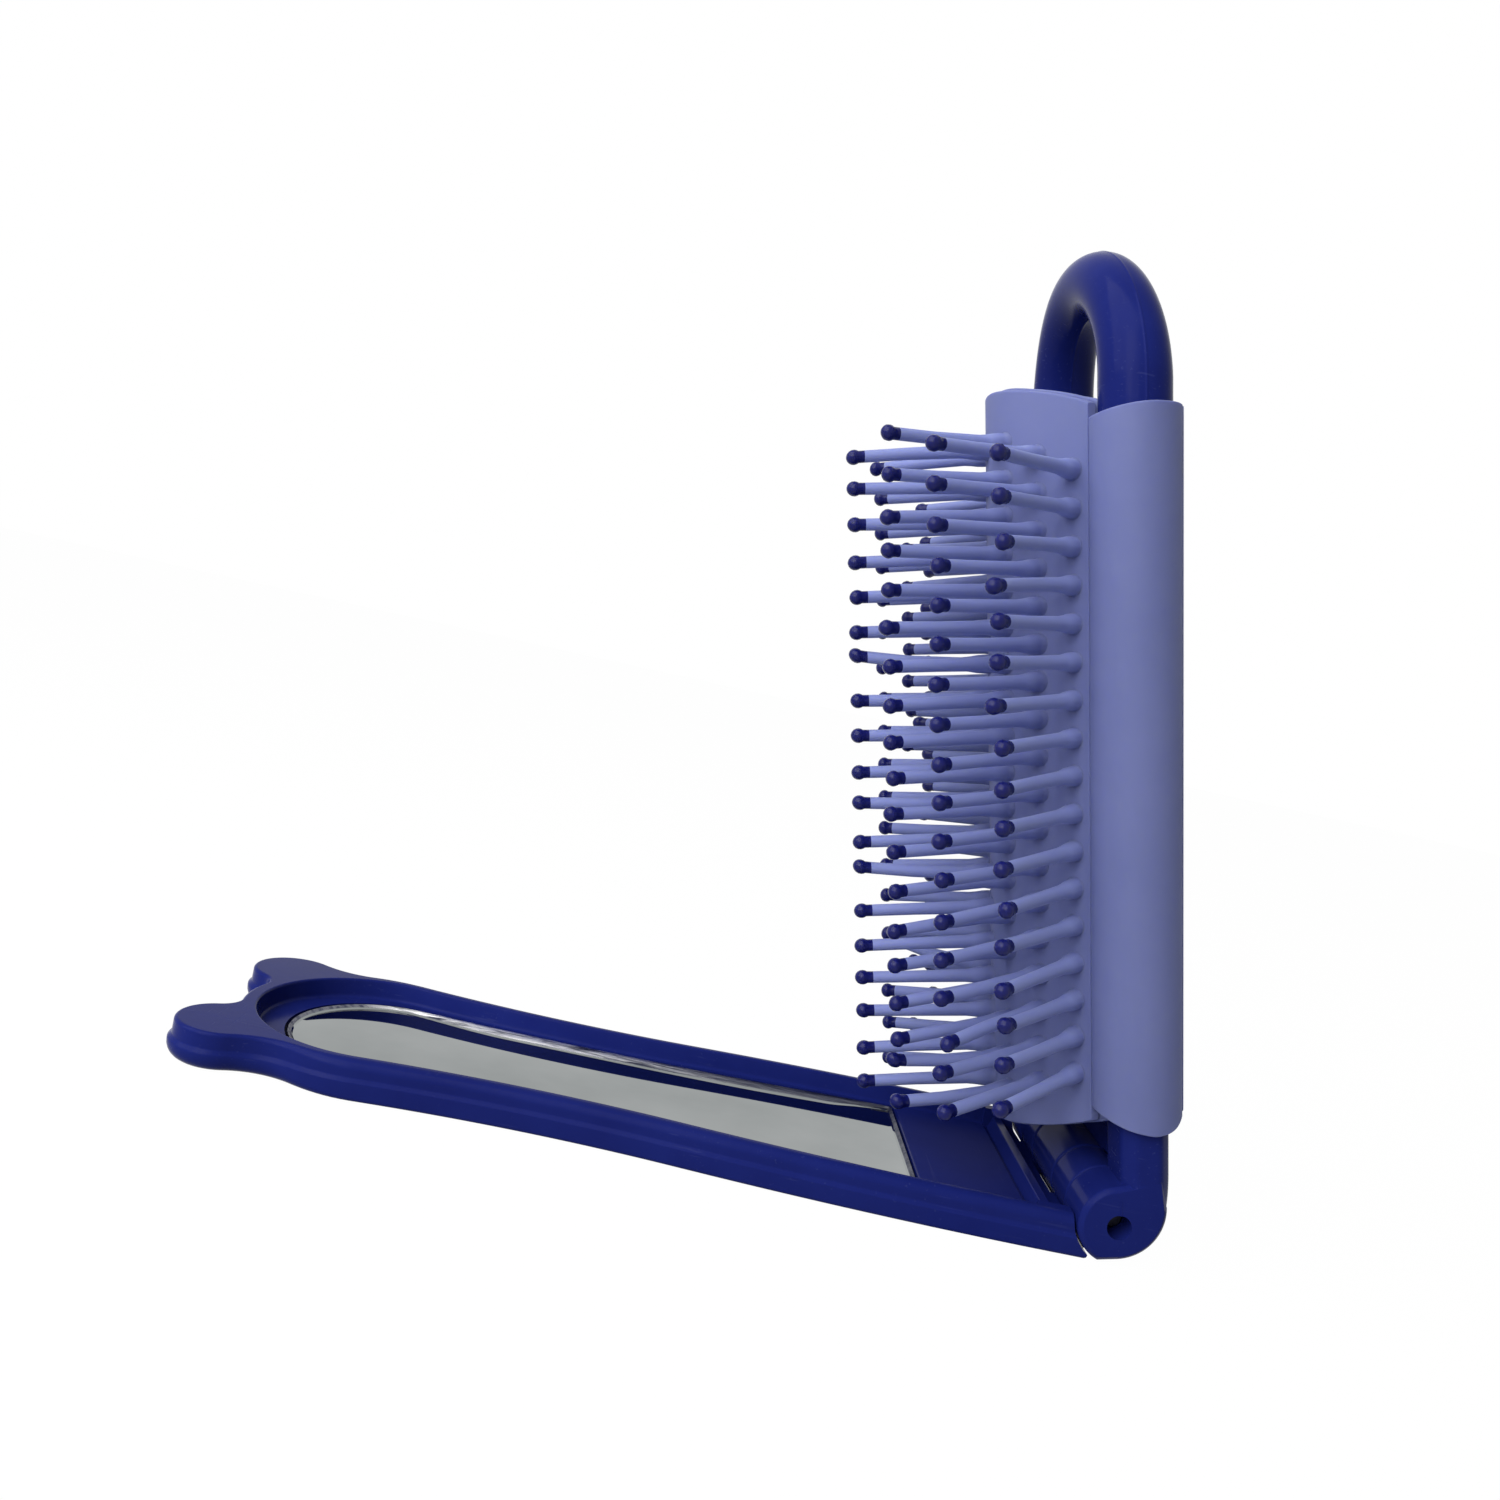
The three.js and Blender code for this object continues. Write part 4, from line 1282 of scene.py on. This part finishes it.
@dataclass
class SoftMoulding:
    """The soft moulding: channels round the legs, an arched back sheet and pad, and columns of pins.

    Each channel is slit along its back, with a small bridge across. Its ends curve with the share of
    the way from the pad's crease to the back: a crown first, then a rise of the bottom and a slight
    drop of the top. Pins flare at the foot and end in a dark dipped ball.
    """

    brush: BrushFrame
    middle: float = 47.6
    half_length: float = 36.1
    wall: float = 0.7
    gap: float = 0.3
    top_crown: float = 0.6
    bottom_crown: float = 1.5
    crown_share: float = 0.6
    top_drop: float = 0.15
    top_drop_share: float = 0.85
    bottom_rise: float = 2.2
    bottom_rise_share: float = 0.62
    bottom_sag: float = 0.1
    bottom_sag_share: float = 0.57
    bottom_sag_width_share: float = 0.1
    channel_round: float = 0.16
    slit_width: float = 0.7
    slit_degrees: float = 28.0
    bridge: float = 1.4
    bridge_below_top: float = 5.0
    bridge_half_turn: float = 0.16
    bridge_sunk: tuple[float, float] = (0.08, 0.06)
    bridge_round: float = 0.12
    nose_radius: float = 10.0
    flank_degrees: float = 42.0
    crease_degrees: float = 18.0
    crease_fillet: float = 4.5
    pad_thickness: float = 1.0
    sheet_thickness: float = 0.8
    pad_crown: float = 5.1
    crown_margin: float = 0.5
    sheet_peek: float = 0.35
    sheet_sunk: float = 0.35
    sheet_round: float = 0.25
    pad_off: float = 0.06
    pad_round: float = 0.22
    field_drop: float = 0.9
    pitch: float = 4.0
    end_margin: float = 4.7
    column_step: float = 4.43
    fan_degrees: tuple[float, ...] = (0.0, 22.0, 35.0, 46.0)
    pin_length: float = 15.8
    column_lengths: tuple[float, ...] = (15.1, 15.8, 15.4, 16.0, 13.8, 13.9, 15.8)
    bend_spread: float = 0.24
    stray_share: float = 0.1
    stray_spread: float = 0.85
    seed: int = 11
    pin_profile: tuple[tuple[float, float], ...] = (
        (-0.35, 1.3), (0.0, 1.22), (0.12, 1.1), (0.7, 1.09), (1.5, 1.02), (2.3, 0.88), (3.2, 0.78),
        (9.0, 0.7),
    )
    pin_sides: int = 12
    ball_radius: float = 0.87
    ball_latitudes: tuple[float, ...] = (-37.0, -22.0, -4.0, 18.0, 39.0, 60.0, 80.0)
    tip_radius: float = 0.69
    dip_extra: float = 0.3
    dip_edge: float = 0.04
    pale_from: float = 2.5
    pale_mark: float = 0.45
    crease_shading: float = 40.0
    pin_shading: float = 60.0

    @property
    def channel_inner(self) -> float:
        """Inner radius of the channel round a leg."""
        return self.brush.rod + self.gap

    @property
    def channel_outer(self) -> float:
        """Outer radius of the channel."""
        return self.channel_inner + self.wall

    @property
    def crease(self) -> np.ndarray:
        """Where the arched front meets the channel, in X and Z of the section."""
        turn = math.radians(self.crease_degrees)
        return np.array([self.brush.leg_back - self.channel_outer * math.cos(turn),
                         self.brush.leg_side + self.channel_outer * math.sin(turn)])

    def half_front(self, count: int) -> tuple[np.ndarray, np.ndarray]:
        """Give the arched front from the nose to the crease, with its outward directions.

        Formula: a nose arc, a straight flank tangent to it, and a hollow arc that ends square to
        the crease. Directions are the nose's radius, the flank's normal and the hollow's radius
        turned round.

        Args:
            count: Number of points.

        Returns:
            Points and unit directions in X and Y, each count by 2, evenly spaced along the front.
        """
        flank = math.radians(self.flank_degrees)
        outward = np.array([-math.cos(flank), math.sin(flank)])
        fillet = self.crease - np.array([self.crease_fillet, 0.0])
        end = fillet - outward * self.crease_fillet
        rise = end[1] - self.nose_radius * outward[1]
        start = np.array([end[0] - rise * outward[1] / math.cos(flank), self.nose_radius * outward[1]])
        nose = start - outward * self.nose_radius
        straight = float(np.hypot(*(end - start)))
        lengths = (self.nose_radius * flank, straight, self.crease_fillet * flank)
        along = np.linspace(0.0, sum(lengths), count)
        nose_turn = np.clip(along / self.nose_radius, 0.0, flank)
        on_nose = np.stack([-np.cos(nose_turn), np.sin(nose_turn)], axis=1)
        past = np.clip(along - lengths[0], 0.0, lengths[1])
        hollow = flank - np.clip((along - lengths[0] - lengths[1]) / self.crease_fillet, 0.0, flank)
        on_hollow = np.stack([-np.cos(hollow), np.sin(hollow)], axis=1)
        line = (end - start) / straight
        points = np.where(
            (along <= lengths[0])[:, None], nose + self.nose_radius * on_nose,
            np.where((along <= lengths[0] + lengths[1])[:, None], start + line * past[:, None],
                     fillet - self.crease_fillet * on_hollow),
        )
        return points, np.where((along <= lengths[0] + lengths[1])[:, None], on_nose, on_hollow)

    def front(self, count: int) -> tuple[np.ndarray, np.ndarray]:
        """Give the whole arched front from the near crease to the far one."""
        points, outward = self.half_front(count)
        flip = np.array([1.0, -1.0])
        return (np.concatenate([points[::-1] * flip, points[1:]]),
                np.concatenate([outward[::-1] * flip, outward[1:]]))

    def top_at(self, side: np.ndarray) -> np.ndarray:
        """Give how far the crowned ends of the pad reach past its half length."""
        return crown_height(side, self.crease[1] + self.crown_margin, self.pad_crown)

    def sheet(self, depth: tuple[float, float], peek: float, keep_off: float, corner: float) -> np.ndarray:
        """Give one arched sheet between two depths behind the front.

        Formula: at each station of the front, a rounded rectangle spanned by the inward direction
        and the height, whose ends follow the crown.

        Args:
            depth: Distance of the front and the back face behind the arched front.
            peek: How far the ends stand past the crown.
            keep_off: Distance from a leg's middle line inside which the sheet stops.
            corner: Radius of the sheet's edges.

        Returns:
            A grid of stations by loop points by 3.
        """
        points, outward = self.front(90)
        clear = np.hypot(points[:, 0] - self.brush.leg_back,
                         np.abs(points[:, 1]) - self.brush.leg_side) >= keep_off
        points, outward = points[clear], outward[clear]
        crown = self.half_length + self.top_at(points[:, 1]) + peek
        low = np.column_stack([np.full(len(points), depth[0]), self.middle - crown])
        high = np.column_stack([np.full(len(points), depth[1]), self.middle + crown])
        depths, heights = rounded_loop(low, high, corner, 5)
        plan = points[None] - depths[..., None] * outward[None]
        grid = np.concatenate([plan, heights[..., None]], axis=-1)
        return np.swapaxes(grid, 0, 1)

    def round_leg(self, side: Side, turn: np.ndarray, loop: tuple[np.ndarray, np.ndarray]) -> np.ndarray:
        """Give a wall that runs round one leg.

        Formula: a point lies at its radius round the leg's middle line, and at its height.

        Args:
            side: Which leg it runs round.
            turn: Angle of each station, 0 pointing to the back.
            loop: Radii and heights, each points by stations, as rounded_loop() gives them.

        Returns:
            A grid of stations by loop points by 3.
        """
        radii, heights = loop
        x = self.brush.leg_back + radii * np.cos(turn)
        y = side.value * (self.brush.leg_side + radii * np.sin(turn))
        return np.swapaxes(np.stack([x, y, heights], axis=-1), 0, 1)

    def channel(self, side: Side) -> np.ndarray:
        """Give the channel round one leg, from one lip of its slit round to the other.

        Formula: at each angle about the leg, a rounded rectangle spanned by the radius and the
        height. With the share t of the way from front to back, both ends crown by one minus the
        square of what t still lacks of its crown share. Then the top drops by a square and the
        bottom rises by a cube, each from a share of its own, and the bottom sags before it.
        """
        slit = math.radians(self.slit_degrees)
        lip = self.slit_width / 2.0 / self.channel_outer
        turn = np.linspace(slit + lip, slit + 2.0 * math.pi - lip, 120)
        share = (np.cos(turn) + 1.0) / 2.0
        crown = 1.0 - (1.0 - np.minimum(share / self.crown_share, 1.0)) ** 2
        drop = past(share, self.top_drop_share) ** 2
        rise = past(share, self.bottom_rise_share) ** 3
        sag = hump(share, self.bottom_sag_share, self.bottom_sag_width_share)
        top = self.middle + self.half_length + self.top_crown * crown - self.top_drop * drop
        bottom = (self.middle - self.half_length - self.bottom_crown * crown
                  + self.bottom_rise * rise - self.bottom_sag * sag)
        low = np.column_stack([np.full(len(turn), self.channel_inner), bottom])
        high = np.column_stack([np.full(len(turn), self.channel_outer), top])
        return self.round_leg(side, turn, rounded_loop(low, high, self.channel_round, 4))

    def slit_bridge(self, side: Side) -> np.ndarray:
        """Give the small bridge that holds the slit's lips together near the top."""
        half = self.bridge_half_turn
        turn = math.radians(self.slit_degrees) + np.linspace(-half, half, 5)
        top = self.middle + self.half_length - self.bridge_below_top
        inner, outer = self.bridge_sunk
        low = np.tile([self.channel_inner + inner, top - self.bridge], (len(turn), 1))
        high = np.tile([self.channel_outer - outer, top], (len(turn), 1))
        return self.round_leg(side, turn, rounded_loop(low, high, self.bridge_round, 3))

    def pin_bases(self) -> tuple[np.ndarray, np.ndarray, np.ndarray]:
        """Give the foot, the direction and the length of every pin.

        Formula: seven columns at even steps along the arched front, fanned by a set angle, with
        pins at an even pitch as far as the crowned ends allow.

        Returns:
            Feet and unit directions, each pins by 3, and lengths.
        """
        fine, _ = self.half_front(2000)
        run = np.concatenate([[0.0], np.cumsum(np.hypot(*np.diff(fine, axis=0).T))])
        feet = []
        ways = []
        lengths = []
        for column, length in zip(range(-3, 4), self.column_lengths):
            sign = 1.0 if column >= 0 else -1.0
            along = self.column_step * abs(column)
            place = np.array([np.interp(along, run, fine[:, 0]), np.interp(along, run, fine[:, 1])])
            fan = math.radians(self.fan_degrees[abs(column)])
            reach = self.half_length + float(self.top_at(place[1])) - self.end_margin
            count = 1 + int(2.0 * reach / self.pitch)
            heights = self.middle - self.field_drop + ((count - 1) / 2.0 - np.arange(count)) * self.pitch
            feet.append(np.column_stack([np.tile([place[0], sign * place[1]], (count, 1)), heights]))
            ways.append(np.tile([-math.cos(fan), sign * math.sin(fan), 0.0], (count, 1)))
            lengths.append(np.full(count, length))
        return np.concatenate(feet), np.concatenate(ways), np.concatenate(lengths)

    def pins(self) -> tuple[np.ndarray, np.ndarray]:
        """Give all pins and how dark each of their points is.

        Formula: rings about a middle line that leaves the foot along the pin's direction and bends
        off sideways with the square of the distance. Ring radii follow the collar, the shaft and
        the ball. Bends come from a seeded draw, a few of them larger.

        Returns:
            A grid of pins by rings by sides by 3, and marks of pins by rings by sides.
        """
        feet, ways, lengths = self.pin_bases()
        draw = np.random.default_rng(self.seed)
        count = len(feet)
        ball_at = self.pin_length - self.ball_radius
        latitudes = np.radians(self.ball_latitudes)
        ball = np.column_stack([ball_at + self.ball_radius * np.sin(latitudes),
                                self.ball_radius * np.cos(latitudes)])
        dip_from = ball_at - self.ball_radius - self.dip_extra
        shaft_end = np.array([[dip_from - self.dip_edge, self.tip_radius], [dip_from, self.tip_radius]])
        profile = np.concatenate([np.array(self.pin_profile), shaft_end, ball])
        distance, radius = profile[:, 0], profile[:, 1]
        spread = np.where(draw.random(count) < self.stray_share, self.stray_spread, self.bend_spread)
        drift = draw.normal(size=(count, 2)) * spread[:, None]
        upward = np.array([0.0, 0.0, 1.0])
        sideways = np.cross(ways, upward)
        share = np.clip(distance / self.pin_length, 0.0, 1.0) ** 2
        offset = drift[:, :1, None] * sideways[:, None, :] + drift[:, 1:, None] * upward
        reach = distance[None, :] * (lengths / self.pin_length)[:, None]
        middle_line = feet[:, None, :] + ways[:, None, :] * reach[..., None] + offset * share[None, :, None]
        angles = np.arange(self.pin_sides) * 2.0 * math.pi / self.pin_sides
        around = (np.cos(angles)[None, :, None] * sideways[:, None, :]
                  + np.sin(angles)[None, :, None] * upward)
        grid = middle_line[:, :, None, :] + radius[None, :, None, None] * around[:, None, :, :]
        pale = np.clip(distance / self.pale_from, 0.0, 1.0) * self.pale_mark
        dark = np.where(distance >= dip_from, 1.0, pale)
        marks = np.broadcast_to(dark[None, :, None], grid.shape[:3])
        return grid, marks

    def build(self, finishes: Finishes) -> None:
        """Make the sleeve with its back sheet, the pad and the pins, and dress them."""
        lean = self.brush.hinge.lean
        pad_nodes = ("pin_pad_middle", "pin_pad_far", "pin_pad_near")
        sleeve = Skin()
        for side in Side:
            sleeve.tube(lean(self.channel(side)))
            sleeve.tube(lean(self.slit_bridge(side)))
        back = self.pad_thickness + self.gap
        sleeve.tube(lean(self.sheet((back, back + self.sheet_thickness), self.sheet_peek,
                                    self.channel_outer - self.sheet_sunk, self.sheet_round)))
        pad = Skin().tube(lean(self.sheet((0.0, self.pad_thickness), 0.0,
                                          self.channel_outer + self.pad_off, self.pad_round)))
        grid, marks = self.pins()
        pins = Skin().tubes(lean(grid), marks)
        for skin, name, crease, nodes in (
                (sleeve, "bristle_channels", self.crease_shading, ("bristle_sleeve",)),
                (pad, "bristle_pad", self.crease_shading, pad_nodes),
                (pins, "bristle_pins", self.pin_shading, pad_nodes)):
            dress(smooth(skin.build(name, "dip"), crease), finishes.soft, Slot.SOFT, Body.BRUSH, nodes)


# Floor, light and camera

@dataclass(frozen=True)
class Lamp:
    """One square lamp, in metres and watts, turned towards a point."""

    name: str
    place: tuple[float, float, float]
    size: float
    power: float
    aim: tuple[float, float, float] = (0.02, 0.0, 0.04)

    def build(self) -> None:
        """Place the lamp."""
        light = bpy.data.lights.new(self.name, "AREA")
        light.size = self.size
        light.energy = self.power
        lamp = bpy.data.objects.new(self.name, light)
        lamp.location = self.place
        lamp.rotation_euler = (Vector(self.aim) - Vector(self.place)).to_track_quat("-Z", "Y").to_euler()
        bpy.context.scene.collection.objects.link(lamp)


@dataclass
class Studio:
    """A pale floor, a large lamp at the upper left, a weak one in front, and the photograph's camera."""

    floor_half: float = 3.0
    floor_colour: Colour = (0.5, 0.5, 0.5)
    floor_shadow: float = 0.03
    floor_glow: float = 1.02
    world_level: float = 0.14
    lamps: tuple[Lamp, ...] = (
        Lamp("left lamp", (-0.26, -0.2, 0.31), 0.5, 2.45),
        Lamp("front lamp", (-0.2, -0.45, 0.25), 0.35, 0.9),
    )
    focal_pixels: float = 1219.41
    image_pixels: float = 1500.0
    sensor: float = 36.0
    camera_at: tuple[float, float, float] = (-0.876, -139.296, 52.586)
    look: tuple[float, float, float] = (0.02258, 0.99769, -0.0641)
    rightward: tuple[float, float, float] = (0.97681, -0.00836, 0.21394)

    @staticmethod
    def seen_share(nodes: Nodes) -> bpy.types.NodeSocket:
        """Give 1 for rays from the camera, from gloss or through glass, and 0 for the rest."""
        path = nodes.add("LightPath")
        seen = nodes.maths("MAXIMUM", path.outputs["Is Camera Ray"], path.outputs["Is Glossy Ray"])
        return nodes.maths("MAXIMUM", seen, path.outputs["Is Transmission Ray"])

    def backdrop(self) -> None:
        """Make the world white to the eye and softer as a light."""
        world = bpy.data.worlds.new("studio")
        world.use_nodes = True
        bpy.context.scene.world = world
        nodes = Nodes(world.node_tree)
        seen = self.seen_share(nodes)
        strength = nodes.spread(seen, (0.0, 1.0), (self.world_level, 1.0))
        light = nodes.add("Background", {"Color": with_alpha(WHITE), "Strength": strength})
        nodes.add("OutputWorld", {"Surface": light.outputs[0]})

    def floor(self) -> None:
        """Make the floor, nearly white to the eye, with a faint shadow under the object."""
        half = self.floor_half
        mesh = bpy.data.meshes.new("floor")
        corners = [(-half, -half, 0.0), (half, -half, 0.0), (half, half, 0.0), (-half, half, 0.0)]
        mesh.from_pydata(corners, [], [(0, 1, 2, 3)])
        floor = bpy.data.objects.new("floor", mesh)
        bpy.context.scene.collection.objects.link(floor)
        material = bpy.data.materials.new("pale floor")
        material.use_nodes = True
        nodes = Nodes(material.node_tree)
        matt = nodes.add("BsdfDiffuse", {"Color": with_alpha(self.floor_colour)})
        white = nodes.add("Emission", {"Color": with_alpha(WHITE), "Strength": self.floor_glow})
        share = nodes.maths("MULTIPLY", self.seen_share(nodes), 1.0 - self.floor_shadow)
        both = nodes.add("MixShader", {0: share, 1: matt.outputs[0], 2: white.outputs[0]})
        nodes.add("OutputMaterial", {"Surface": both.outputs[0]})
        mesh.materials.append(material)

    def camera(self) -> None:
        """Place the camera by its look and rightward directions."""
        data = bpy.data.cameras.new("camera")
        data.sensor_width = self.sensor
        data.lens = self.focal_pixels / self.image_pixels * self.sensor
        data.clip_start = 0.005
        camera = bpy.data.objects.new("camera", data)
        look = Vector(self.look).normalized()
        right = (Vector(self.rightward) - look * look.dot(Vector(self.rightward))).normalized()
        turn = Matrix((right, right.cross(look), -look)).transposed()
        camera.matrix_world = Matrix.Translation(Vector(self.camera_at) * MILLIMETRE) @ turn.to_4x4()
        bpy.context.scene.collection.objects.link(camera)
        bpy.context.scene.camera = camera

    def build(self) -> None:
        """Make the floor, the world, the lamps and the camera."""
        self.backdrop()
        self.floor()
        for lamp in self.lamps:
            lamp.build()
        self.camera()
        bpy.context.scene.view_settings.view_transform = "Standard"


def main() -> None:
    """Build the studio and every piece."""
    logging.basicConfig(level=logging.INFO, format="%(message)s")
    Studio().build()
    finishes = make_finishes()
    axis = frame["joints"][0]["pos_m"]
    hinge = Hinge(x=axis[0] / MILLIMETRE, z=axis[2] / MILLIMETRE)
    case = MirrorCase(hinge)
    case.build(finishes)
    MirrorSheet(case).build(finishes)
    repaint("mirror_adhesive", finishes.tape)
    repaint("hinge_pin", finishes.steel)
    brush = BrushFrame(hinge)
    brush.build(finishes)
    SoftMoulding(brush).build(finishes)


if __name__ == "__main__":
    main()
